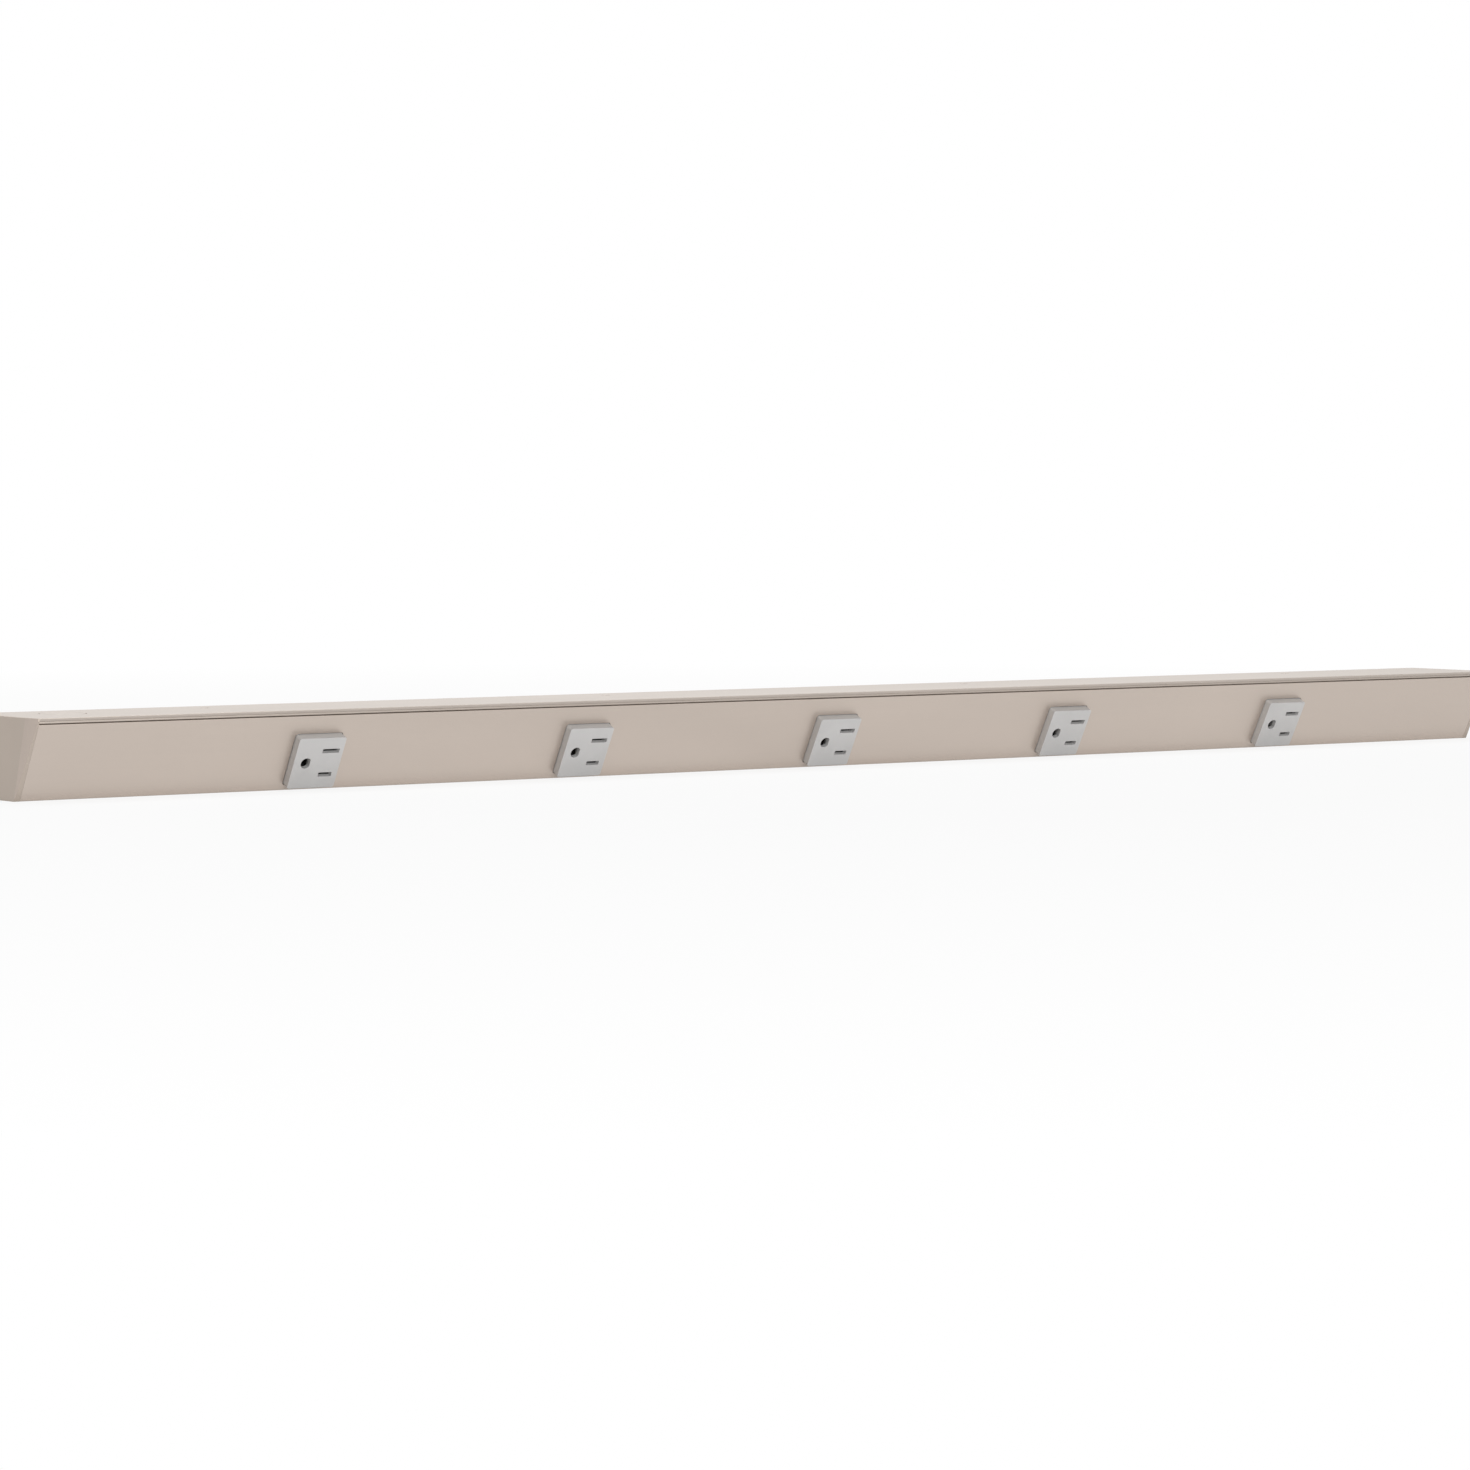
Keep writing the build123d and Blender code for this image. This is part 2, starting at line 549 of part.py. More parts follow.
# Ground screw: a hexagon head inside the channel, its end flush with the back wall
head_y = lug_plane_y - LUG_T / 2 - SEAT_CLEAR
head_shape = RegularPolygon(GROUND_HEAD_R, 6)
screw_l = BACK_Y - SEAT_CLEAR - head_y
ground_screw = extrude(head_shape, GROUND_HEAD_H)
ground_screw += Pos(0, 0, -screw_l / 2) * Cylinder(GROUND_SCREW_R, screw_l)
ground_screw -= Pos(0, 0, GROUND_HEAD_H) * Box(2 * GROUND_HEAD_R, GROUND_SLOT, 2 * GROUND_SLOT)
save(Pos(LUG_X, head_y, ground_z) * Rot(90, 0, 0) * ground_screw, "ground_screw")
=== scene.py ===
# %% [markdown]
# # An under cabinet power strip
#
# The strip is a long, slim metal case that is screwed up under a kitchen cabinet. Its front face
# slopes back towards the wall on its way down, and five grounded receptacles stand a little proud
# of it. This lesson starts from a finished CAD model, which is loaded as a fixed frame. Blender's
# job is the last step from solids to something that looks real: rounded edges, real screws,
# moulded plastic, a satin metal finish and soft studio light.

# %% Load the frame
import math

import bmesh
import bpy
from mathutils import Euler, Matrix, Vector


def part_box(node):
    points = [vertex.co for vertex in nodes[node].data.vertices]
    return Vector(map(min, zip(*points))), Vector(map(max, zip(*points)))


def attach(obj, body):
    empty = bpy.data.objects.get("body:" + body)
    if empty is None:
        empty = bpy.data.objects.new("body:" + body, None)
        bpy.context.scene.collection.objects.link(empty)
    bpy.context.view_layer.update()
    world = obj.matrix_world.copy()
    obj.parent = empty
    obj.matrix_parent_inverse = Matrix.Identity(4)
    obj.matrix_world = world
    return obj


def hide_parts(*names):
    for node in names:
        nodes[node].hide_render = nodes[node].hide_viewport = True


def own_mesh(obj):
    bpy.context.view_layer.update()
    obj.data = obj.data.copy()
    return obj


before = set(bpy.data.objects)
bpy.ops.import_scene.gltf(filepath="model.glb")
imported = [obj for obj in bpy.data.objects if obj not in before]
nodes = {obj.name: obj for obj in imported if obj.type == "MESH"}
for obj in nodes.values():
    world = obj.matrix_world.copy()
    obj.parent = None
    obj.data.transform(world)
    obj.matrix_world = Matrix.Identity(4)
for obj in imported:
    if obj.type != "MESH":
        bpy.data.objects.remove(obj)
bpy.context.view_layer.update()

# %% [markdown]
# ## Sizes that the pieces share
#
# Shapes here are drawn in millimetres, as on a workshop drawing, and become metres when they turn
# into meshes. X runs along the strip, the wall is at +Y, and z = 0 is the top face, which lies
# against the cabinet.

# %% Shared sizes
MM = 0.001
LENGTH = -2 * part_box("end_cap_left")[0][0] / MM
BODY_LENGTH = -2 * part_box("base_channel")[0][0] / MM
FRONT_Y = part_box("base_channel")[0][1] / MM
BACK_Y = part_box("base_channel")[1][1] / MM
FLOOR_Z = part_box("end_cap_left")[0][2] / MM
WALL = 1.4
FACE_SETBACK = 19.5
LEAN = math.atan2(FACE_SETBACK, -FLOOR_Z - WALL)
SLIDE_CLEAR = 0.2
SEAT_CLEAR = 0.05
print("length", round(LENGTH, 2), "lean in degrees", round(math.degrees(LEAN), 2))

# %% [markdown]
# ## Where each receptacle sits
#
# A receptacle has directions of its own, turned with the leaning face: u runs along the strip, v
# up the slant and w straight out of the face. A matrix per receptacle turns those three into X, Y
# and Z. So each of its pieces is drawn once, lying flat, and then put in place five times.

# %% Receptacle seats
OUTLETS = 5
NUMBERS = range(1, OUTLETS + 1)
PITCH = LENGTH / (OUTLETS + 1)
CENTRE_DOWN = 25.1
CENTRE_Y = FRONT_Y + CENTRE_DOWN * math.sin(LEAN)
CENTRE_Z = -WALL - CENTRE_DOWN * math.cos(LEAN)
UP_SLANT = Vector((0, -math.sin(LEAN), math.cos(LEAN)))
OUT_OF_FACE = Vector((0, -math.cos(LEAN), -math.sin(LEAN)))


def seat(number):
    """The matrix, in millimetres, that puts a piece drawn flat at receptacle 1 to 5."""
    x = (number - (OUTLETS + 1) / 2) * PITCH
    turned_axes = Matrix(((1, 0, 0), UP_SLANT, OUT_OF_FACE)).transposed().to_4x4()
    return Matrix.Translation((x, CENTRE_Y, CENTRE_Z)) @ turned_axes


def section(v, w):
    """The y and z of the point v up the slant and w out of the face from a receptacle's centre."""
    point = UP_SLANT * v + OUT_OF_FACE * w
    return (CENTRE_Y + point.y, CENTRE_Z + point.z)


def face_y(z):
    """The y of the leaning face's outer side at height z."""
    return FRONT_Y - (z + WALL) * math.tan(LEAN)


print("receptacle 1 sits at", tuple(round(value, 1) for value in seat(1).translation))

# %% [markdown]
# ## Building node trees with code
#
# Materials and Geometry Nodes are both graphs of nodes. Written out in full, each node takes
# several lines, so one helper adds a node, sets its properties and fills its sockets. A socket
# takes a plain value, or another node's output, in which case the helper draws the link. A list
# of outputs is for the sockets that take several links. What comes back is the node's first
# output, or the one that is named, ready to go into the next node.

# %% Node helpers
def add(tree, kind, inputs=None, out=0, **settings):
    """Add a node, set its properties, fill its sockets and return one of its outputs."""
    node = tree.nodes.new(kind)
    for name, value in settings.items():
        setattr(node, name, value)
    for name, value in (inputs or {}).items():
        for source in value if isinstance(value, list) else [value]:
            if isinstance(source, bpy.types.NodeSocket):
                tree.links.new(source, node.inputs[name])
            else:
                node.inputs[name].default_value = source
    return node.outputs[out] if node.outputs else None


def maths(tree, operation, first, second):
    """The result of one step of arithmetic."""
    return add(tree, "ShaderNodeMath", {0: first, 1: second}, operation=operation)


def vector(tree, **parts):
    """A vector put together from its X, Y and Z, each a number or an output."""
    return add(tree, "ShaderNodeCombineXYZ", parts)


def blank(kind, name):
    """A new material or world, and its node tree without any nodes."""
    holder = kind.new(name)
    holder.use_nodes = True
    holder.node_tree.nodes.clear()
    return holder, holder.node_tree


# %% [markdown]
# ## Patterns for surfaces
#
# A few small functions make most of a surface. `noise` is a pattern on Object coordinates: the
# pieces sit at the origin, so these are plain metres on the strip, and the grain runs unbroken
# over pieces that were cut from one bar. `remap` spreads that pattern over a useful range,
# `shade` makes a colour lighter or darker with it, and `bumps` turns it into height. `surface`
# puts the results on a Principled shader.

# %% Pattern helpers
def srgb(red, green, blue):
    """A colour as it reads on screen, 0 to 255, turned into the linear values that Blender uses."""
    def linear(value):
        """One channel, along the curve of the sRGB standard."""
        value /= 255
        return value / 12.92 if value <= 0.04045 else ((value + 0.055) / 1.055) ** 2.4
    return (linear(red), linear(green), linear(blue), 1.0)


def noise(tree, scale, detail=2.0, roughness=0.5, stretch=(1, 1, 1)):
    """A noise pattern: scale in patches per metre, multiplied per axis by stretch."""
    place = add(tree, "ShaderNodeTexCoord", out="Object")
    place = add(tree, "ShaderNodeMapping", {"Vector": place, "Scale": stretch})
    sockets = {"Vector": place, "Scale": scale, "Detail": detail, "Roughness": roughness}
    return add(tree, "ShaderNodeTexNoise", sockets, "Fac")


def remap(tree, value, low, high):
    """Spread the middle of a noise pattern, 0.3 to 0.7, over the range low to high."""
    sockets = {"Value": value, "From Min": 0.3, "From Max": 0.7, "To Min": low, "To Max": high}
    return add(tree, "ShaderNodeMapRange", sockets)


def shade(tree, colour, factor):
    """A colour made lighter or darker by a factor that varies over the surface."""
    grey = add(tree, "ShaderNodeCombineColor", {"Red": factor, "Green": factor, "Blue": factor})
    sockets = {"Factor": 1.0, "A": colour, "B": grey}
    return add(tree, "ShaderNodeMix", sockets, "Result", data_type="RGBA", blend_type="MULTIPLY")


def bumps(tree, height, strength, depth):
    """A pattern as bumps, with the depth in metres."""
    return add(tree, "ShaderNodeBump", {"Height": height, "Strength": strength, "Distance": depth})


def surface(material, sockets):
    """End a material in a Principled shader with these sockets filled."""
    tree = material.node_tree
    shader = add(tree, "ShaderNodeBsdfPrincipled", sockets)
    add(tree, "ShaderNodeOutputMaterial", {"Surface": shader})
    print("material", material.name, "with", len(tree.nodes), "nodes")
    return material


# %% [markdown]
# ## Satin nickel
#
# The case is aluminium with a satin nickel finish: a warm, pale beige metal without any mirror.
# Two things make it read as metal and not as paint. The first is a faint grain along the strip,
# left by the extrusion die and by brushing before the finish. It is a noise pattern stretched a
# hundred times along X. The second is a roughness that varies with that grain, so highlights
# break up. A finer, even speckle on top is the satin blast.

# %% Satin nickel material
def satin_nickel(name, colour, roughness, grain=0.5):
    """Brushed and blasted nickel, with its grain along the strip."""
    material, tree = blank(bpy.data.materials, name)
    lines = noise(tree, 1.0, detail=3.0, roughness=0.6, stretch=(14, 1700, 1700))
    speckle = noise(tree, 2600.0, detail=1.0)
    slow = remap(tree, noise(tree, 5.0, stretch=(1, 4, 4)), 0.975, 1.02)
    fine = remap(tree, lines, 0.985, 1.015)
    height = add(tree, "ShaderNodeMix", {"Factor": 0.35, "A": lines, "B": speckle}, "Result")
    return surface(material, {
        "Base Color": shade(tree, colour, maths(tree, "MULTIPLY", slow, fine)),
        "Roughness": remap(tree, lines, roughness - 0.04, roughness + 0.05),
        "Metallic": 0.75,
        "Normal": bumps(tree, height, grain, 0.00004),
    })


cover_nickel = satin_nickel("cover_satin_nickel", srgb(198, 186, 176), 0.42)
channel_nickel = satin_nickel("channel_satin_nickel", srgb(190, 180, 171), 0.40)
# The caps' colour is darker than the cover's as painted shade, for ends that face away from the light.
shaded_cap_nickel = satin_nickel("cap_satin_nickel", srgb(186, 174, 163), 0.48, grain=0.3)
# The facet's colour is lighter than the end's as painted light, for the light that the slanted facet
# catches.
lit_facet_nickel = satin_nickel("facet_satin_nickel", srgb(191, 178, 168), 0.42)

# %% [markdown]
# ## Moulded plastics
#
# The receptacle faces are a light grey thermoplastic. Moulded plastic is never quite flat in
# colour or gloss: the mould was spark-eroded, which leaves a fine, even texture, and the resin
# flows in slow, faint clouds. The same function makes the dark inner mouldings and the wires'
# insulation, with other numbers.

# %% Plastic materials
def moulded_plastic(name, colour, roughness, texture=0.25):
    """Moulded plastic with a fine spark-eroded texture and slow clouds of tone."""
    material, tree = blank(bpy.data.materials, name)
    pits = noise(tree, 3200.0, roughness=0.7)
    clouds = remap(tree, noise(tree, 60.0, detail=3.0), 0.97, 1.03)
    return surface(material, {
        "Base Color": shade(tree, colour, clouds),
        "Roughness": remap(tree, pits, roughness - 0.05, roughness + 0.06),
        "IOR": 1.49,
        "Normal": bumps(tree, pits, texture, 0.00003),
    })


face_plastic = moulded_plastic("receptacle_face_plastic", srgb(201, 200, 199), 0.38)
# The shutters' mid grey is painted shade, for light shutters that sit in the shade behind the slots.
shutter_plastic = moulded_plastic("shutter_plastic", srgb(150, 148, 146), 0.5)
base_plastic = moulded_plastic("receptacle_base_plastic", srgb(38, 38, 40), 0.55)
black_jacket = moulded_plastic("hot_wire_jacket", srgb(24, 24, 25), 0.35, texture=0.1)
white_jacket = moulded_plastic("neutral_wire_jacket", srgb(226, 226, 222), 0.35, texture=0.1)
green_jacket = moulded_plastic("ground_wire_jacket", srgb(36, 118, 58), 0.35, texture=0.1)

# %% [markdown]
# ## Small metal parts
#
# Screws are nickel plated, contacts are folded from brass strip, springs are bright steel, and
# the wires' bare ends are copper. They share one recipe: full metal, a cloudy tone from handling,
# and fine scratches. The grounding screw has a green plating, so that electricians find it.

# %% Small metal materials
def small_metal(name, colour, roughness):
    """Plated or rolled metal with a cloudy tone and fine scratches."""
    material, tree = blank(bpy.data.materials, name)
    clouds = noise(tree, 400.0, detail=3.0)
    scratches = noise(tree, 1.0, detail=3.0, roughness=0.7, stretch=(700, 4500, 900))
    return surface(material, {
        "Base Color": shade(tree, colour, remap(tree, clouds, 0.92, 1.05)),
        "Roughness": remap(tree, clouds, roughness - 0.05, roughness + 0.1),
        "Metallic": 1.0,
        "Normal": bumps(tree, scratches, 0.3, 0.00003),
    })


screw_nickel = small_metal("screw_nickel", srgb(196, 190, 182), 0.3)
green_plating = small_metal("ground_screw_green", srgb(60, 140, 78), 0.35)
contact_brass = small_metal("contact_brass", srgb(214, 180, 110), 0.3)
spring_steel = small_metal("spring_steel", srgb(190, 190, 192), 0.25)
lug_tin = small_metal("lug_tin", srgb(200, 198, 192), 0.35)
wire_copper = small_metal("wire_copper", srgb(205, 128, 92), 0.3)

# %% [markdown]
# ## Outlines
#
# `rectangle` and `rounded` cover the outlines of windows, plates and slots. A rounded corner is
# an arc that touches both of its sides. Its points are found by blending between the directions
# of the arc's two ends and bringing each blend back to the arc's radius.

# %% Outline helpers
def rectangle(left, right, bottom, top):
    """An anticlockwise rectangle from its limits."""
    return [(left, bottom), (right, bottom), (right, top), (left, top)]


def centred(width, height):
    """An anticlockwise rectangle about the middle."""
    return rectangle(-width / 2, width / 2, -height / 2, height / 2)


def rounded(outline, radii, steps=8):
    """A convex outline with an arc at each corner: one radius for all, or a list of them."""
    if not isinstance(radii, list):
        radii = [radii] * len(outline)
    result = []
    for index, radius in enumerate(radii):
        corner = Vector(outline[index])
        back = (Vector(outline[index - 1]) - corner).normalized()
        ahead = (Vector(outline[(index + 1) % len(outline)]) - corner).normalized()
        half = back.angle(ahead) / 2
        middle = corner + (back + ahead).normalized() * radius / math.sin(half)
        start = corner + back * radius / math.tan(half) - middle
        end = corner + ahead * radius / math.tan(half) - middle
        for step in range(steps + 1):
            result.append(tuple(middle + start.lerp(end, step / steps).normalized() * radius))
    return result


def arc(centre, radius, first, last, steps=12):
    """Points of an arc between two angles in degrees, anticlockwise where last is the larger."""
    points = []
    for step in range(steps + 1):
        angle = math.radians(first + (last - first) * step / steps)
        points.append((centre[0] + radius * math.cos(angle), centre[1] + radius * math.sin(angle)))
    return points


# %% [markdown]
# ## Solids from an outline
#
# Most cutters and plates are prisms, an outline drawn straight up, or turned shapes, as from a
# lathe. Both are a stack of rings, simple enough to write as lists of points and faces. A face
# lists its points anticlockwise as seen from outside, which tells Blender where outside is.

# %% Solid helpers
def stacked(rings):
    """The points and faces of rings of points, from the bottom, each joined to the next."""
    steps = len(rings[0])
    top = (len(rings) - 1) * steps
    faces = [tuple(reversed(range(steps))), tuple(range(top, top + steps))]
    for ring in range(0, top, steps):
        for here in range(steps):
            after = (here + 1) % steps
            faces.append((ring + here, ring + after, ring + steps + after, ring + steps + here))
    return [point for ring in rings for point in ring], faces


def prism(outline, low, high, place=Matrix()):
    """An anticlockwise outline drawn up from one height to another."""
    return stacked([[place @ Vector((x, y, height)) for x, y in outline] for height in (low, high)])


def turned(profile, place=Matrix(), steps=48):
    """A lathe shape from the radius and height of each ring, from the bottom."""
    rings = []
    for radius, height in profile:
        circle = [Vector((radius * x, radius * y, height)) for x, y in arc((0, 0), 1, 0, 360, steps)[:-1]]
        rings.append([place @ point for point in circle])
    return stacked(rings)


def mesh_of(name, *solids):
    """One mesh, in metres, from solids drawn in millimetres."""
    points = []
    faces = []
    for solid_points, solid_faces in solids:
        start = len(points)
        points += [Vector(point) * MM for point in solid_points]
        faces += [tuple(start + index for index in face) for face in solid_faces]
    mesh = bpy.data.meshes.new(name)
    mesh.from_pydata(points, [], faces)
    return mesh


# %% [markdown]
# ## Modifiers, run once
#
# Booleans join and cut solids, and a bevel rounds what is left sharp. Each is a modifier, which
# Blender would keep computing. Here `settle` runs an object's modifiers once and keeps the
# result as a plain mesh. The weighted normals at the end keep the large flat sides flat: without
# them, a smooth-shaded bevel would tilt the light over the whole side next to it.

# %% Bevel helpers
SHARP_ANGLE = math.radians(40)


def show(name, data):
    """A new object for a mesh, a lamp or a camera, linked to the scene."""
    piece = bpy.data.objects.new(name, data)
    bpy.context.scene.collection.objects.link(piece)
    return piece


def settle(piece):
    """Run the modifiers of an object once and keep the result as its own mesh."""
    graph = bpy.context.evaluated_depsgraph_get()
    result = bpy.data.meshes.new_from_object(piece.evaluated_get(graph))
    piece.modifiers.clear()
    piece.data = result


def soften(piece, width, steps=2, chosen=None):
    """Round the sharp edges that a test picks, keep the others crisp and the sides flat."""
    piece.data.shade_smooth()
    shell = bmesh.new()
    shell.from_mesh(piece.data)
    weights = shell.edges.layers.float.new("bevel_weight_edge")
    for edge in shell.edges:
        if edge.calc_face_angle(0) > SHARP_ANGLE:
            rounded_off = chosen is None or chosen(edge)
            edge[weights] = float(rounded_off)
            edge.smooth = rounded_off
    shell.to_mesh(piece.data)
    shell.free()
    bevel = piece.modifiers.new("soft edges", "BEVEL")
    bevel.width = width * MM
    bevel.segments = steps
    bevel.limit_method = "WEIGHT"
    weighted = piece.modifiers.new("flat sides", "WEIGHTED_NORMAL")
    weighted.keep_sharp = True
    settle(piece)
    print(piece.name, "has", len(piece.data.polygons), "faces")
    return piece


# %% [markdown]
# `carve` makes a piece that is joined and cut from several solids. `stand_for` then gives it a place
# in the CAD model: the node it takes the place of, and the body it moves with.

# %% Joining and placing helpers
def carve(name, body, added=(), cut=()):
    """A body with other meshes joined to it and cut out of it."""
    piece = show(name, body)
    tools = []
    for meshes, operation in ((added, "UNION"), (cut, "DIFFERENCE")):
        for mesh in meshes:
            tool = show("tool", mesh)
            boolean = piece.modifiers.new(operation, "BOOLEAN")
            boolean.operation = operation
            boolean.object = tool
            boolean.solver = "EXACT"
            tools.append(tool)
    settle(piece)
    for tool in tools:
        bpy.data.objects.remove(tool)
    return piece


def stand_for(piece, node_name, body="housing"):
    """Let a piece take a CAD node's place on its body."""
    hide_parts(node_name)
    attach(piece, body)


# %% [markdown]
# ## Geometry Nodes, run once
#
# A Geometry Nodes tree is a recipe with named inputs. `start_tree` makes an empty one, and `grow`
# feeds it a mesh and its input values, runs it once and keeps the result. The same recipe then
# serves for several pieces: one for both extrusions, one for every screw, one for every wire.
# Two steps come back in most of them, a path with round bends and a profile swept along it.

# %% Geometry Nodes helpers
WELD = 1e-6


def start_tree(name, **inputs):
    """An empty geometry tree with named inputs, given as name=(type, default)."""
    tree = bpy.data.node_groups.new(name, "GeometryNodeTree")
    tree.interface.new_socket("Geometry", in_out="INPUT", socket_type="NodeSocketGeometry")
    for label, (kind, default) in inputs.items():
        socket = tree.interface.new_socket(label, in_out="INPUT", socket_type="NodeSocket" + kind)
        if default is not None:
            socket.default_value = default
    tree.interface.new_socket("Geometry", in_out="OUTPUT", socket_type="NodeSocketGeometry")
    return tree, tree.nodes.new("NodeGroupInput").outputs


def end_tree(tree, geometry, finish):
    """End a tree the same way each time: real geometry, with its material on."""
    real = add(tree, "GeometryNodeRealizeInstances", {"Geometry": geometry})
    painted = add(tree, "GeometryNodeSetMaterial", {"Geometry": real, "Material": finish})
    add(tree, "NodeGroupOutput", {"Geometry": painted})


def bent_path(tree, mesh, radius, steps):
    """The edges of a mesh as a curve with round bends."""
    curve = add(tree, "GeometryNodeMeshToCurve", {"Mesh": mesh})
    bends = {"Curve": curve, "Radius": radius, "Count": steps, "Limit Radius": True}
    return add(tree, "GeometryNodeFilletCurve", bends, mode="POLY")


def sweep(tree, curve, profile):
    """A closed solid: a profile swept along a curve."""
    sockets = {"Curve": curve, "Profile Curve": profile, "Fill Caps": True}
    return add(tree, "GeometryNodeCurveToMesh", sockets)


def grow(name, mesh, tree, **values):
    """Run a geometry tree on a mesh with the given input values, and keep the result."""
    piece = show(name, mesh)
    modifier = piece.modifiers.new("recipe", "NODES")
    modifier.node_group = tree
    for item in tree.interface.items_tree:
        if item.in_out == "INPUT" and item.name in values:
            modifier[item.identifier] = values[item.name]
    settle(piece)
    print(name, "comes out of its recipe with", len(piece.data.polygons), "faces")
    return piece


# %% [markdown]
# ## The two extrusions as one recipe
#
# The channel and the cover are aluminium extrusions: one cross-section, pushed through a die and
# cut to length. The recipe repeats that. It takes a flat outline, rounds every corner by the
# radius that the outline carries as an attribute, fills it, draws it out, and stands it along X.
# Then it cuts the holes with a mesh of cutters, as the punch and the drill do. Only the edges of
# the holes get a bevel, because the long edges are round already.

# %% Extrusion recipe
HOLE_EDGE = 0.15
END_MARGIN = 1.0
QUARTER = math.pi / 2


def extrusion_tree():
    """Outline in, finished extrusion out."""
    tree, given = start_tree(
        "extrusion", Length=("Float", 1.0), Cutters=("Object", None), Finish=("Material", None)
    )
    corner = add(tree, "GeometryNodeInputNamedAttribute", {"Name": "corner"}, data_type="FLOAT")
    outline = bent_path(tree, given["Geometry"], corner, steps=4)
    flat = add(tree, "GeometryNodeFillCurve", {"Curve": outline}, mode="NGONS")
    drawing = {"Mesh": flat, "Offset Scale": given["Length"], "Individual": False}
    drawn = add(tree, "GeometryNodeExtrudeMesh", drawing)
    back = add(tree, "GeometryNodeFlipFaces", {"Mesh": flat})
    loose = add(tree, "GeometryNodeJoinGeometry", {"Geometry": [drawn, back]})
    bar = add(tree, "GeometryNodeMergeByDistance", {"Geometry": loose, "Distance": WELD})
    start = vector(tree, X=maths(tree, "MULTIPLY", given["Length"], -0.5))
    standing = {"Geometry": bar, "Rotation": (QUARTER, 0, QUARTER), "Translation": start}
    along = add(tree, "GeometryNodeTransform", standing)
    cutters = add(tree, "GeometryNodeObjectInfo", {"Object": given["Cutters"]}, "Geometry")
    cut = add(tree, "GeometryNodeMeshBoolean", {"Mesh 1": along, "Mesh 2": cutters}, solver="EXACT")
    end_tree(tree, cut, given["Finish"])
    return tree


def is_punched(edge):
    """Whether an edge belongs to a hole, and so lies clear of both ends."""
    reach = (BODY_LENGTH / 2 - END_MARGIN) * MM
    return all(abs(corner.co.x) < reach for corner in edge.verts)


def extrusion(name, outline, cutters, finish):
    """An extrusion from an outline of y, z and corner radius, with holes cut by solids."""
    flat = bpy.data.meshes.new(name)
    count = len(outline)
    edges = [(here, (here + 1) % count) for here in range(count)]
    flat.from_pydata([(y * MM, z * MM, 0) for y, z, _ in outline], edges, [])
    corners = flat.attributes.new("corner", "FLOAT", "POINT")
    corners.data.foreach_set("value", [radius * MM for _, _, radius in outline])
    tool = show("cutters", mesh_of("cutters", *cutters))
    piece = grow(name, flat, extrusion_recipe, Length=BODY_LENGTH * MM, Cutters=tool, Finish=finish)
    bpy.data.objects.remove(tool)
    return soften(piece, HOLE_EDGE, chosen=is_punched)


extrusion_recipe = extrusion_tree()
print("extrusion recipe with", len(extrusion_recipe.nodes), "nodes")

# %% [markdown]
# ## Screw ports
#
# The end caps' screws need something to bite. An extrusion can't have a blind hole, so its die
# forms a C: a round boss with a bore that stays open on one side. The outline comes in from one
# wall, follows the outside of the C to its mouth, goes round the bore and leaves to the other
# wall. Both walls are equally far from the bore's middle, so where they meet the C follows from
# its radius.

# %% Screw ports
PORT_R = 2.8
PORT_BORE_R = 1.45
PORT_SLOT = 1.3
PORT_INSET = 2.2
PORT_MEET = math.degrees(math.acos(PORT_INSET / PORT_R))


def screw_port(centre, mouth, first, last, way):
    """The outline of one C. Angles are in degrees, and way is 1 for anticlockwise."""
    outside = way * math.degrees(math.asin(PORT_SLOT / 2 / PORT_R))
    inside = way * math.degrees(math.asin(PORT_SLOT / 2 / PORT_BORE_R))
    points = arc(centre, PORT_R, first, mouth - outside)
    points += arc(centre, PORT_BORE_R, mouth - inside, mouth + inside - way * 360, steps=24)
    points += arc(centre, PORT_R, mouth + outside, last)
    return [(y, z, 0) for y, z in points]


print("a wall meets its port at", round(PORT_MEET, 1), "degrees")

# %% [markdown]
# ## The channel's cross-section
#
# Walk clockwise round it from the top plate's front edge: over the plate, down the back wall, in
# along the shelf that takes the cover's screws, past two ports, and forward under the plate to
# the hook and the rib. The hook carries the cover's flange, and the rib is the dark back of the
# seam that shows along the whole front. The plate's front edge is undercut, so that it turns away
# from the light and reads as part of the seam, as it does in the photograph.

# %% Channel outline
SEAM_H = 1.5
SEAM_D = 2.9
RIB = 1.3
HOOK_LAP = 2.1
FLANGE_TOP = -WALL - SEAM_H
FLANGE_REACH = 7.2
HOOK_Y = FRONT_Y + FLANGE_REACH
SHELF_DEPTH = 10.0
SHELF_Z = FLOOR_Z + WALL + SEAT_CLEAR
DIE_CORNER = 0.3
SHARP_CORNER = 0.12
EDGE_LAND = 0.35
UNDERCUT = 0.9
PORT_Y = BACK_Y - WALL - PORT_INSET
UPPER_PORT = (PORT_Y, -WALL - PORT_INSET)
LOWER_PORT = (PORT_Y, SHELF_Z + WALL + PORT_INSET)


def with_corners(points, radius):
    """Points of y and z, each with the same corner radius."""
    return [(y, z, radius) for y, z in points]


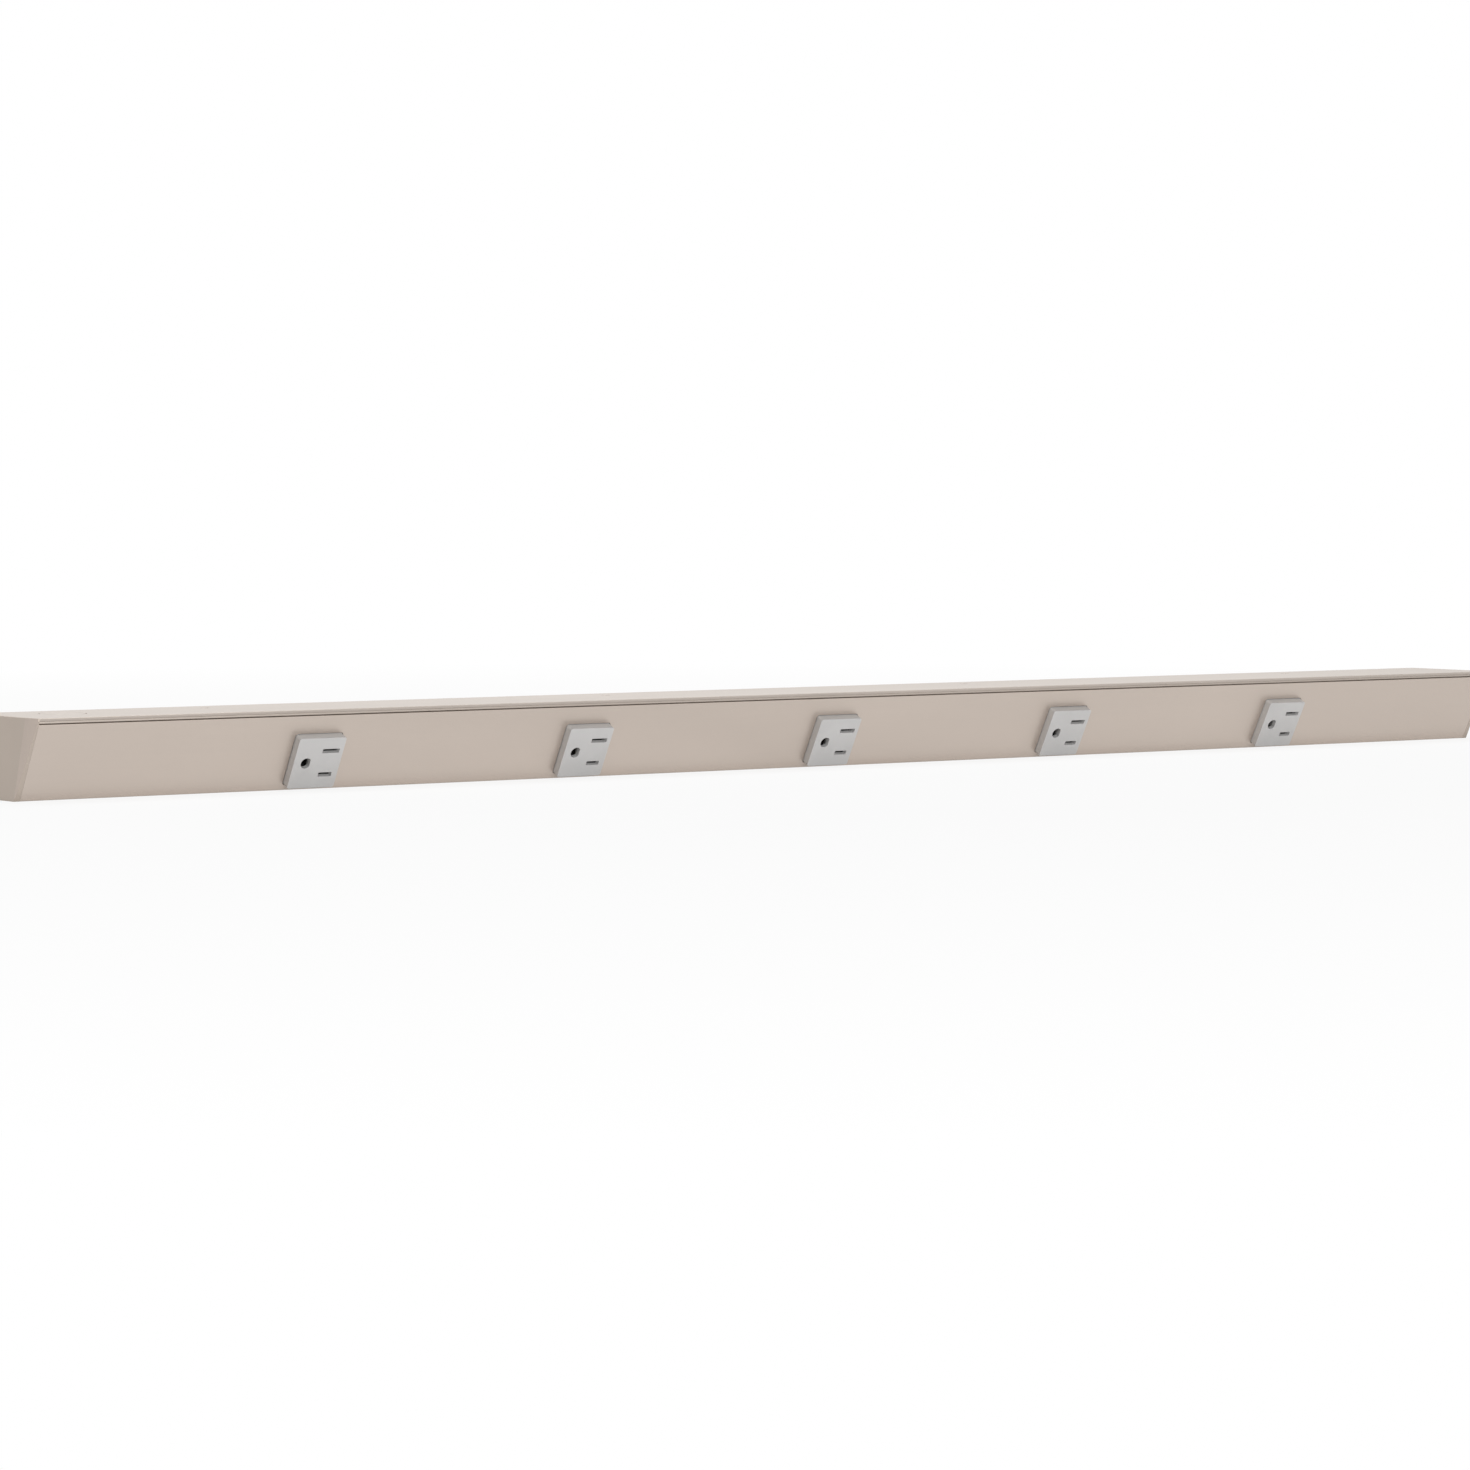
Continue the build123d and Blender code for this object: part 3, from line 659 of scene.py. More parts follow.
def channel_outline():
    """Points of y, z and corner radius, clockwise."""
    shelf_y = BACK_Y - WALL - SHELF_DEPTH
    hook_foot = FLANGE_TOP - WALL - SLIDE_CLEAR - WALL
    hook_front = HOOK_Y + SLIDE_CLEAR
    rib_y = FRONT_Y + SEAM_D
    rib_foot = FLANGE_TOP + SLIDE_CLEAR
    front = [(FRONT_Y + UNDERCUT, -WALL), (FRONT_Y, -EDGE_LAND), (FRONT_Y, 0)]
    outer = [(BACK_Y, 0), (BACK_Y, SHELF_Z), (shelf_y, SHELF_Z), (shelf_y, SHELF_Z + WALL)]
    ports = screw_port(LOWER_PORT, 180, 270 - PORT_MEET, PORT_MEET, -1)
    ports += screw_port(UPPER_PORT, 180, 360 - PORT_MEET, 90 + PORT_MEET, -1)
    hook = [(hook_front + WALL, -WALL), (hook_front + WALL, hook_foot), (HOOK_Y - HOOK_LAP, hook_foot)]
    hook += [(HOOK_Y - HOOK_LAP, hook_foot + WALL), (hook_front, hook_foot + WALL), (hook_front, -WALL)]
    rib = [(rib_y + RIB, -WALL), (rib_y + RIB, rib_foot), (rib_y, rib_foot), (rib_y, -WALL)]
    outline = with_corners(front, SHARP_CORNER) + with_corners(outer, DIE_CORNER) + ports
    return outline + with_corners(hook + rib, DIE_CORNER)


print("channel outline has", len(channel_outline()), "points")

# %% [markdown]
# ## The channel's holes
#
# Four screws hold the strip up, so there are four holes in the top plate. Two knockouts let the
# supply cable in, through the top or the back. A knockout is punched nearly through: two arcs are
# open, and two small tabs hold the disc until someone knocks it out. The other holes are for the
# ground screw, in the back wall, and for the cover's screws, in the shelf.

# %% Base channel
MOUNT_R = 2.25
MOUNT_Y = 14.0
MOUNTS = 4
KNOCKOUT_R = 11.1
KNOCKOUT_CUT = 0.6
KNOCKOUT_TAB = 2.4
KNOCKOUT_X = -LENGTH / 2 + 34.0
KNOCKOUT_TOP_Y = 4.0
KNOCKOUT_BACK_Z = -18.0
SCREW_R = 1.4
SHELF_MARGIN = 2.8
COVER_SCREW_Y = BACK_Y - WALL - SHELF_DEPTH + SHELF_MARGIN
COVER_SCREW_INSET = 57.2
COVER_SCREW_X = [-LENGTH / 2 + COVER_SCREW_INSET, -LENGTH / 6, LENGTH / 6, LENGTH / 2 - COVER_SCREW_INSET]
GROUND_SCREW_R = 2.0
LUG_X = -LENGTH / 2 + 62.0
WIRE_PLANE = -19.0
THROUGH = 3 * WALL


def at(x, y, z, turn=0.0, axis="X"):
    """A place in millimetres, turned by degrees about one axis."""
    return Matrix.Translation((x, y, z)) @ Matrix.Rotation(math.radians(turn), 4, axis)


def hole(radius, place):
    """A round cutter through one wall."""
    return turned([(radius, -THROUGH), (radius, THROUGH)], place)


def knockout(place):
    """Two arc-shaped cutters that leave a tab at either side."""
    edge = math.degrees(math.asin(KNOCKOUT_TAB / 2 / KNOCKOUT_R))
    cutters = []
    for start in (0, 180):
        outline = arc((0, 0), KNOCKOUT_R, start + edge, start + 180 - edge, steps=32)
        outline += arc((0, 0), KNOCKOUT_R - KNOCKOUT_CUT, start + 180 - edge, start + edge, steps=32)
        cutters.append(prism(outline, -THROUGH, THROUGH, place))
    return cutters


holes = knockout(at(KNOCKOUT_X, KNOCKOUT_TOP_Y, 0))
holes += knockout(at(KNOCKOUT_X, BACK_Y, KNOCKOUT_BACK_Z, 90))
for index in range(MOUNTS):
    x = (index - (MOUNTS - 1) / 2) * LENGTH / MOUNTS
    holes.append(hole(MOUNT_R, at(x, MOUNT_Y, 0)))
holes.append(hole(GROUND_SCREW_R + SEAT_CLEAR, at(LUG_X, BACK_Y, section(0, WIRE_PLANE)[1], 90)))
for x in COVER_SCREW_X:
    holes.append(hole(SCREW_R + SEAT_CLEAR, at(x, COVER_SCREW_Y, SHELF_Z)))
channel = extrusion("channel", channel_outline(), holes, channel_nickel)
stand_for(channel, "base_channel")

# %% [markdown]
# ## The front cover
#
# The cover's outline runs anticlockwise: down the leaning face, along the floor to the wall, back
# past its own port, over the two ribs that trap the receptacles' lips, and up to the flange and
# the tongue that hang in the channel. The front bottom corner gets a larger radius than the rest,
# a soft corner that is part of the darker line along the bottom of the strip in the photograph.

# %% Cover outline
TONGUE_Y = FRONT_Y + SEAM_D + RIB + SLIDE_CLEAR
FLOOR_CORNER = 1.0
LIP_W = 31.0
LIP_H = 29.0
LIP_T = 1.6
LIP_FRONT = -WALL - SEAT_CLEAR
LIP_BACK = LIP_FRONT - LIP_T
BASE_FRONT = LIP_BACK - SEAT_CLEAR
RIB_NOSE = 0.5
RIB_REACH = 1.0
COVER_PORT = (6.0, FLOOR_Z + WALL + PORT_INSET)


def cover_outline():
    """Points of y, z and corner radius, anticlockwise."""
    floor_top = FLOOR_Z + WALL
    slant_wall = WALL / math.cos(LEAN)
    outer = [(BACK_Y, FLOOR_Z), (BACK_Y, floor_top)]
    port = screw_port(COVER_PORT, 360, 270 + PORT_MEET, 360 + 270 - PORT_MEET, 1)
    lip_y, lip_z = section(-LIP_H / 2, LIP_BACK)
    rib_y = lip_y + SEAT_CLEAR
    rib_top = lip_z + RIB_REACH
    low_rib = [(rib_y + RIB, floor_top), (rib_y + RIB, rib_top), (rib_y, rib_top), (rib_y, floor_top)]
    rib_v = LIP_H / 2 + SLIDE_CLEAR
    rib_w = BASE_FRONT - RIB_REACH
    high_rib = [(rib_v, -WALL), (rib_v, BASE_FRONT), (LIP_H / 2 - RIB_NOSE, BASE_FRONT)]
    high_rib += [(rib_v, rib_w), (rib_v + RIB, rib_w), (rib_v + RIB, -WALL)]
    flange_foot = FLANGE_TOP - WALL
    flange = [(face_y(flange_foot) + slant_wall, flange_foot), (HOOK_Y, flange_foot), (HOOK_Y, FLANGE_TOP)]
    tongue = [(TONGUE_Y + WALL, FLANGE_TOP), (TONGUE_Y + WALL, -WALL - SLIDE_CLEAR)]
    tongue += [(TONGUE_Y, -WALL - SLIDE_CLEAR), (TONGUE_Y, FLANGE_TOP)]
    inner = low_rib + [(face_y(floor_top) + slant_wall, floor_top)]
    inner += [section(v, w) for v, w in high_rib] + flange + tongue
    face = [(face_y(FLANGE_TOP), FLANGE_TOP, DIE_CORNER), (face_y(FLOOR_Z), FLOOR_Z, FLOOR_CORNER)]
    return face + with_corners(outer, DIE_CORNER) + port + with_corners(inner, DIE_CORNER)


print("cover outline has", len(cover_outline()), "points")

# %% [markdown]
# ## The cover's windows and screw holes
#
# Five windows with round corners take the receptacles, 0.3 mm larger all round, and four
# countersinks in the floor take the screws that close the strip. A countersink cutter is a lathe
# shape: the bore, the cone, and a straight bit above it. That bit runs past the surface, because
# a Boolean works badly where two faces lie in one plane.

# %% Front cover
FACE_W = 25.4
FACE_H = 27.0
FACE_CORNER_R = 1.2
CUTOUT_CLEAR = 0.3
WINDOW_REACH = 1.5 * WALL
SCREW_HEAD_R = 2.7
COVER_HEAD_H = 1.25
BORE_L = 12.0
PAST = 1.0


def countersink(head_h, place):
    """The cutter for a flat screw head at z = 0, with its bore going down."""
    bore = SCREW_R + SEAT_CLEAR
    mouth = SCREW_HEAD_R + SEAT_CLEAR
    return turned([(bore, -BORE_L), (bore, -head_h), (mouth, 0), (mouth, PAST)], place)


window = centred(FACE_W + 2 * CUTOUT_CLEAR, FACE_H + 2 * CUTOUT_CLEAR)
window = rounded(window, FACE_CORNER_R + CUTOUT_CLEAR)
openings = [prism(window, -WINDOW_REACH, WINDOW_REACH, seat(number)) for number in NUMBERS]
for x in COVER_SCREW_X:
    openings.append(countersink(COVER_HEAD_H, at(x, COVER_SCREW_Y, FLOOR_Z, 180)))
cover = extrusion("cover", cover_outline(), openings, cover_nickel)
stand_for(cover, "front_cover")

# %% [markdown]
# ## End caps
#
# Each cap is a plate with the strip's own outline. Its front corner is sliced off by one slanting
# plane, which leaves a facet that is widest at the top and runs out to nothing at the bottom. The
# end's colour is darker than the cover's, which is painted shade, and the facet gets a material of
# its own, a little lighter than the end, which is painted light. Two lugs reach into the extrusions,
# and three countersunk holes line up with the ports. The right cap is the left one, mirrored.

# %% End caps
CAP_T = 3.0
CAP_LUG = 5.0
CAP_LUG_T = 2.0
TOP_LUG_W = 14.0
FLOOR_LUG_FRONT = -7.0
FLOOR_LUG_BACK = 2.0
CAP_HEAD_H = 1.6
CAP_PORTS = (UPPER_PORT, LOWER_PORT, COVER_PORT)
CAP_BEVEL_X = 2.2
CAP_BEVEL_Y = 8.0
CAP_EDGE = 0.3
CAP_CRISP_R = 0.01
CAP_FOOT_R = 0.4
CAP_CORNER_R = 1.2
OUTER_X = -LENGTH / 2
FACET_TOP = Vector((OUTER_X, FRONT_Y + CAP_BEVEL_Y, 0))
FACET_FOOT = Vector((OUTER_X, face_y(FLOOR_Z), FLOOR_Z))
FACET_OUT = (FACET_FOOT - FACET_TOP).cross(Vector((CAP_BEVEL_X, -CAP_BEVEL_Y, 0)))
# Turns an outline's x and y into Y and Z, and its height into X.
TO_SECTION = Matrix(((0, 0, 1, 0), (1, 0, 0, 0), (0, 1, 0, 0), (0, 0, 0, 1)))


def sliced(mesh, plane_point, plane_normal):
    """Cut away what lies on the normal's side of a plane, and close the cut."""
    shell = bmesh.new()
    shell.from_mesh(mesh)
    everything = shell.verts[:] + shell.edges[:] + shell.faces[:]
    cut = bmesh.ops.bisect_plane(
        shell, geom=everything, plane_co=plane_point * MM, plane_no=plane_normal, clear_outer=True
    )
    rim = [item for item in cut["geom_cut"] if isinstance(item, bmesh.types.BMEdge)]
    bmesh.ops.contextual_create(shell, geom=rim)
    bmesh.ops.recalc_face_normals(shell, faces=shell.faces)
    shell.to_mesh(mesh)
    shell.free()


def lug(front, back, bottom, top):
    """A lug on the inner side of the left cap, rooted in the plate."""
    inner_x = OUTER_X + CAP_T
    block = prism(rectangle(front, back, bottom, top), inner_x - PAST, inner_x + CAP_LUG, TO_SECTION)
    return mesh_of("lug", block)


def left_cap():
    """The left end cap."""
    corners = [(FRONT_Y, 0), (FRONT_Y, -WALL), (face_y(FLOOR_Z), FLOOR_Z), (BACK_Y, FLOOR_Z), (BACK_Y, 0)]
    outline = rounded(corners, [CAP_CRISP_R, CAP_CRISP_R, CAP_FOOT_R, CAP_CORNER_R, CAP_CORNER_R])
    plate = mesh_of("cap", prism(outline, OUTER_X, OUTER_X + CAP_T, TO_SECTION))
    sliced(plate, FACET_TOP, FACET_OUT)
    lug_y = HOOK_Y + 2 * WALL + SLIDE_CLEAR
    lug_top = -WALL - SLIDE_CLEAR
    lug_foot = FLOOR_Z + WALL + SLIDE_CLEAR
    upper = lug(lug_y, lug_y + TOP_LUG_W, lug_top - CAP_LUG_T, lug_top)
    lower = lug(FLOOR_LUG_FRONT, FLOOR_LUG_BACK, lug_foot, lug_foot + CAP_LUG_T)
    sinks = [countersink(CAP_HEAD_H, at(OUTER_X, y, z, -90, "Y")) for y, z in CAP_PORTS]
    cap = carve("left_cap", plate, [upper, lower], [mesh_of("sinks", *sinks)])
    return soften(cap, CAP_EDGE)


cap_left = left_cap()

# %% [markdown]
# Mirroring a mesh turns its faces inside out, so the right cap's normals are flipped back. The
# facet's polygons are found by their direction, which is the slicing plane's own.

# %% Both caps
FACET_SPREAD = math.radians(2)

cap_right = show("right_cap", cap_left.data.copy())
cap_right.data.transform(Matrix.Scale(-1, 4, (1, 0, 0)))
cap_right.data.flip_normals()
for cap, node_name in ((cap_left, "end_cap_left"), (cap_right, "end_cap_right")):
    # Slot 0 is the end's nickel with painted shade, slot 1 the facet's nickel with painted light.
    cap.data.materials.append(shaded_cap_nickel)
    cap.data.materials.append(lit_facet_nickel)
    for side in cap.data.polygons:
        as_on_left = Vector((-abs(side.normal.x), side.normal.y, side.normal.z))
        side.material_index = int(as_on_left.angle(FACET_OUT) < FACET_SPREAD)
    stand_for(cap, node_name)

# %% [markdown]
# ## Screws by recipe
#
# Ten flat-head screws hold the strip together, six through the caps and four through the floor.
# One recipe makes a screw at each point it is given, turned by the angles that the point carries.
# The head is a cone, its recess is a cross of two boxes, and the thread is a real helix: a spiral
# curve with a small three-sided profile swept along it.

# %% Screw recipe
SCREW_CORE_R = 1.2
THREAD_PITCH = 1.1
THREAD_H = 0.2
RECESS_W = 0.6
RECESS_REACH = 1.15
RECESS_DEPTH = 1.5
CAP_SCREW_L = 12.0


def screw_tree():
    """Points in, screws out: heads at z = 0 and shanks down, before they are turned."""
    tree, given = start_tree(
        "screws",
        HeadRadius=("Float", SCREW_HEAD_R * MM),
        HeadHeight=("Float", CAP_HEAD_H * MM),
        CoreRadius=("Float", SCREW_CORE_R * MM),
        Length=("Float", CAP_SCREW_L * MM),
        ThreadPitch=("Float", THREAD_PITCH * MM),
        ThreadDepth=("Float", THREAD_H * MM),
        Finish=("Material", None),
    )
    head_h = given["HeadHeight"]
    core_r = given["CoreRadius"]

    def lowered(geometry, depth):
        """Geometry moved down by a depth."""
        down = vector(tree, Z=maths(tree, "MULTIPLY", depth, -1.0))
        return add(tree, "GeometryNodeTransform", {"Geometry": geometry, "Translation": down})

    cone = {"Vertices": 48, "Radius Top": given["HeadRadius"], "Radius Bottom": core_r, "Depth": head_h}
    head = lowered(add(tree, "GeometryNodeMeshCone", cone), head_h)
    recess_l = maths(tree, "MULTIPLY", given["HeadRadius"], RECESS_REACH)
    recess_h = maths(tree, "MULTIPLY", head_h, RECESS_DEPTH)
    recess = vector(tree, X=recess_l, Y=RECESS_W * MM, Z=recess_h)
    bar = add(tree, "GeometryNodeMeshCube", {"Size": recess})
    crossed = add(tree, "GeometryNodeTransform", {"Geometry": bar, "Rotation": (0, 0, QUARTER)})
    cross = {"Mesh 1": head, "Mesh 2": [bar, crossed]}
    slotted = add(tree, "GeometryNodeMeshBoolean", cross, solver="EXACT")
    shank_h = maths(tree, "SUBTRACT", given["Length"], head_h)
    middle = maths(tree, "ADD", head_h, maths(tree, "MULTIPLY", shank_h, 0.5))
    cylinder = {"Vertices": 32, "Radius": core_r, "Depth": shank_h}
    shank = lowered(add(tree, "GeometryNodeMeshCylinder", cylinder), middle)
    spiral = add(tree, "GeometryNodeCurveSpiral", {
        "Resolution": 28,
        "Rotations": maths(tree, "DIVIDE", shank_h, given["ThreadPitch"]),
        "Start Radius": core_r,
        "End Radius": core_r,
        "Height": shank_h,
    })
    ridge = {"Resolution": 3, "Radius": given["ThreadDepth"]}
    thread = sweep(tree, spiral, add(tree, "GeometryNodeCurvePrimitiveCircle", ridge))
    parts = [slotted, shank, lowered(thread, given["Length"])]
    screw = add(tree, "GeometryNodeJoinGeometry", {"Geometry": parts})
    turn = add(tree, "GeometryNodeInputNamedAttribute", {"Name": "turn"}, data_type="FLOAT_VECTOR")
    placed = {"Points": given["Geometry"], "Instance": screw, "Rotation": turn}
    end_tree(tree, add(tree, "GeometryNodeInstanceOnPoints", placed), given["Finish"])
    return tree


screw_recipe = screw_tree()
print("screw recipe with", len(screw_recipe.nodes), "nodes")

# %% [markdown]
# The recipe needs a point for each screw: a mesh with nothing but points, and the turns written
# on them as an attribute. A cap's screws lie on their side, and the cover's stand on their heads.

# %% Screws
COVER_SCREW_L = 5.0


def screws(name, places, length, head_h):
    """Screws at places of x, y, z and a turn about each axis in degrees."""
    points = bpy.data.meshes.new(name)
    points.from_pydata([Vector(place[:3]) * MM for place in places], [], [])
    turns = points.attributes.new("turn", "FLOAT_VECTOR", "POINT")
    turns.data.foreach_set("vector", [math.radians(angle) for place in places for angle in place[3:]])
    return grow(name, points, screw_recipe, Length=length * MM, HeadHeight=head_h * MM, Finish=screw_nickel)


cap_places = []
for y, z in CAP_PORTS:
    cap_places.append((-LENGTH / 2, y, z, 0, -90, 0))
    cap_places.append((LENGTH / 2, y, z, 0, 90, 0))
cap_screws = screws("cap_screws", cap_places, CAP_SCREW_L, CAP_HEAD_H)
stand_for(cap_screws, "end_cap_screws")
cover_places = [(x, COVER_SCREW_Y, FLOOR_Z, 180, 0, 0) for x in COVER_SCREW_X]
cover_screws = screws("cover_screws_made", cover_places, COVER_SCREW_L, COVER_HEAD_H)
stand_for(cover_screws, "cover_screws")

# %% [markdown]
# ## Receptacle faces
#
# The face is what everyone looks at: a light plastic block, four millimetres proud, with two
# blade slots and a ground hole like a D on its side. The upper slot, for the neutral blade, is
# longer than the lower, hot one. Behind the cover a lip keeps the block from being pulled out.
# The block is hollow, with a rail inside that guides the shutter.

# %% Receptacle face
FACE_PROUD = 4.0
FACE_WALL = 1.5
FRONT_WALL = 2.4
FACE_EDGE = 0.35
PIN_U = -5.95
BLADE_U = 5.95
BLADE_V = 6.35
NEUTRAL_L = 9.0
HOT_L = 7.2
SLOT_W = 2.2
SLOT_CORNER_R = 0.25
PIN_R = 2.75
PIN_FLAT = 2.1
SHUTTER_LEFT = -1.4
SHUTTER_T = 2.3
SHUTTER_FRONT = FACE_PROUD - FRONT_WALL - SEAT_CLEAR
SHUTTER_BACK = SHUTTER_FRONT - SHUTTER_T
RAIL_CLEAR = 0.1
RAIL_T = 1.2


def slot(length, v):
    """The outline of a blade slot at height v."""
    outline = rounded(centred(length, SLOT_W), SLOT_CORNER_R, steps=3)
    return [(x + BLADE_U, y + v) for x, y in outline]


def receptacle_face():
    """One face, lying flat with its front at the top."""
    inner_u = FACE_W / 2 - FACE_WALL
    inner_v = FACE_H / 2 - FACE_WALL
    mouth = LIP_BACK - PAST
    ceiling = FACE_PROUD - FRONT_WALL
    rail_right = SHUTTER_LEFT - RAIL_CLEAR
    rail_left = rail_right - RAIL_T
    block = prism(rounded(centred(FACE_W, FACE_H), FACE_CORNER_R), LIP_BACK, FACE_PROUD)
    lip = prism(centred(LIP_W, LIP_H), LIP_BACK, LIP_FRONT)
    hollow = [(-inner_u, mouth), (inner_u, mouth), (inner_u, ceiling), (rail_right, ceiling)]
    hollow += [(rail_right, SHUTTER_BACK), (rail_left, SHUTTER_BACK), (rail_left, ceiling)]
    hollow += [(-inner_u, ceiling)]
    cavity = prism(hollow, -inner_v, inner_v, Matrix.Rotation(QUARTER, 4, "X"))
    pin_edge = math.degrees(math.acos(PIN_FLAT / PIN_R))
    pin = arc((PIN_U, 0), PIN_R, pin_edge, 360 - pin_edge, steps=30)
    outlines = (pin, slot(NEUTRAL_L, BLADE_V), slot(HOT_L, -BLADE_V))
    openings = [prism(outline, ceiling - PAST, FACE_PROUD + PAST) for outline in outlines]
    tools = [mesh_of("cavity", cavity), mesh_of("openings", *openings)]
    face = carve("face", mesh_of("block", block), [mesh_of("lip", lip)], tools)
    return soften(face, FACE_EDGE, steps=3)


flat_face = receptacle_face()
flat_face.data.materials.append(face_plastic)

# %% [markdown]
# Now the flat face goes to its five seats. The matrix is in millimetres and the mesh in metres,
# so the mesh is scaled up, moved, and scaled back. Baking the place into the mesh keeps every
# object at the origin, which is how the CAD model is built too.

# %% Five faces
def in_seat(name, mesh, number):
    """A copy of a flat mesh, baked into the place of receptacle 1 to 5."""
    placed = mesh.copy()
    placed.transform(Matrix.Scale(MM, 4) @ seat(number) @ Matrix.Scale(1 / MM, 4))
    return show(f"{name}_{number}", placed)


for number in NUMBERS:
    face = in_seat("face", flat_face.data, number)
    stand_for(face, f"receptacle_face_{number}")
bpy.data.objects.remove(flat_face)
print("placed", OUTLETS, "faces")

# %% [markdown]
# ## Shutter springs
#
# A folded strip of spring steel sits over each shutter and pushes it down over the slots. The
# recipe draws a line of points, moves every other one across, rounds the bends and sweeps a thin
# rectangle along.

# %% Shutter springs
SPRING_LEFT = -1.2
SPRING_RIGHT = 1.0
SPRING_FOOT = 8.15
SPRING_TOP = 11.95
SPRING_H = SPRING_TOP - SPRING_FOOT
SPRING_T = 0.14
SPRING_W = 1.7
SPRING_FOLDS = 4
SPRING_RISE = (SPRING_H - SPRING_T) / SPRING_FOLDS
SPRING_ACROSS = SPRING_RIGHT - SPRING_LEFT - SPRING_T
SPRING_BEND_R = 0.2


def spring_tree():
    """A folded strip, lying flat with its first fold at the origin."""
    tree, given = start_tree(
        "folded_spring",
        Folds=("Int", SPRING_FOLDS),
        Rise=("Float", SPRING_RISE * MM),
        Across=("Float", SPRING_ACROSS * MM),
        Thickness=("Float", SPRING_T * MM),
        Strip=("Float", SPRING_W * MM),
        Finish=("Material", None),
    )
    count = maths(tree, "ADD", given["Folds"], 1.0)
    line = add(tree, "GeometryNodeMeshLine", {"Count": count, "Offset": vector(tree, Y=given["Rise"])})
    odd = maths(tree, "MODULO", add(tree, "GeometryNodeInputIndex"), 2.0)
    across = vector(tree, X=maths(tree, "MULTIPLY", odd, given["Across"]))
    zigzag = add(tree, "GeometryNodeSetPosition", {"Geometry": line, "Offset": across})
    path = bent_path(tree, zigzag, SPRING_BEND_R * MM, steps=6)
    sizes = {"Width": given["Thickness"], "Height": given["Strip"]}
    strip = add(tree, "GeometryNodeCurvePrimitiveQuadrilateral", sizes)
    end_tree(tree, sweep(tree, path, strip), given["Finish"])
    return tree


flat_spring = grow("spring", bpy.data.meshes.new("spring"), spring_tree(), Finish=spring_steel)
spring_w = (SHUTTER_FRONT + SHUTTER_BACK) / 2
first_fold = Vector((SPRING_LEFT + SPRING_T / 2, SPRING_FOOT + SPRING_T / 2, spring_w))
flat_spring.data.transform(Matrix.Translation(first_fold * MM))
for number in NUMBERS:
    spring = in_seat("spring", flat_spring.data, number)
    stand_for(spring, f"shutter_spring_{number}")
    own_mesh(spring)
bpy.data.objects.remove(flat_spring)

# %% [markdown]
# ## Wires
#
# Three wires run along the backs of the receptacles. Hot and neutral are straight and bare for
# 11 mm at their left end, ready for the supply. The ground wire bends to the back wall, where its
# lug is screwed down. The recipe rounds the bends of a path, sweeps the copper along all of it,
# and the jacket along what isn't bare.

# %% Wire recipe
WIRE_R = 1.3
CORE_R = 0.8
GROUND_BEND_R = 8.0
PAST_ANY_WIRE = 10.0


def wire_tree():
    """A path in, a copper core in its jacket out."""
    tree, given = start_tree(
        "wire",
        BendRadius=("Float", GROUND_BEND_R * MM),
        JacketRadius=("Float", WIRE_R * MM),
        CoreRadius=("Float", CORE_R * MM),
        Bare=("Float", 0.0),
        Jacket=("Material", None),
        Copper=("Material", None),
    )
    path = bent_path(tree, given["Geometry"], given["BendRadius"], steps=16)
    # A trim by length takes its start and end, in metres, at sockets 4 and 5.
    stretch = {"Curve": path, 4: given["Bare"], 5: PAST_ANY_WIRE}
    covered = add(tree, "GeometryNodeTrimCurve", stretch, mode="LENGTH")
    layers = []
    for curve, radius, finish in (
        (path, given["CoreRadius"], given["Copper"]),
        (covered, given["JacketRadius"], given["Jacket"]),
    ):
        ring = add(tree, "GeometryNodeCurvePrimitiveCircle", {"Resolution": 24, "Radius": radius})
        painted = {"Geometry": sweep(tree, curve, ring), "Material": finish}
        layers.append(add(tree, "GeometryNodeSetMaterial", painted))
    joined = add(tree, "GeometryNodeJoinGeometry", {"Geometry": layers})
    real = add(tree, "GeometryNodeRealizeInstances", {"Geometry": joined})
    add(tree, "NodeGroupOutput", {"Geometry": real})
    return tree


wire_recipe = wire_tree()
print("wire recipe with", len(wire_recipe.nodes), "nodes")

# %% [markdown]
# The paths start at the left end, because the recipe leaves the first stretch bare. The ground
# wire's path needs only four points: the recipe puts the two bends in.

# %% Three wires
STRIPPED = 11.0
WIRE_RIGHT_X = 2 * PITCH + 15.0
WIRE_LEFT_X = -LENGTH / 2 + 57.2
LUG_R = 4.4
LUG_BARREL_R = 2.1
BARREL_START = 2.0
BASE_W = 26.8
GROUND_BEND_RUN = 24.0


def wire(name, path, bare, jacket):
    """A wire along a path in millimetres, bare for a length at its start."""
    line = bpy.data.meshes.new(name)
    edges = [(here, here + 1) for here in range(len(path) - 1)]
    line.from_pydata([Vector(point) * MM for point in path], edges, [])
    return grow(name, line, wire_recipe, Bare=bare * MM, Jacket=jacket, Copper=wire_copper)


for node_name, v, jacket, slot_name in (
    ("neutral_wire", BLADE_V, white_jacket, "wire_white"),
    ("hot_wire", -BLADE_V, black_jacket, "wire_black"),
):
    y, z = section(v, WIRE_PLANE)
    path = [(WIRE_LEFT_X - STRIPPED, y, z), (WIRE_RIGHT_X, y, z)]
    straight = wire(f"{node_name}_made", path, STRIPPED, jacket)
    stand_for(straight, node_name)
ground_y, ground_z = section(0, WIRE_PLANE)
lug_y = BACK_Y - WALL - SEAT_CLEAR - LUG_BARREL_R
lug_end = LUG_X + LUG_R + BARREL_START
bend_x = seat(1).translation.x - BASE_W / 2 - GROUND_BEND_R
ground_path = [(lug_end, lug_y), (bend_x - GROUND_BEND_RUN, lug_y)]
ground_path += [(bend_x, ground_y), (WIRE_RIGHT_X, ground_y)]
ground = wire("ground_wire_made", [(x, y, ground_z) for x, y in ground_path], 0.0, green_jacket)
stand_for(ground, "ground_wire")

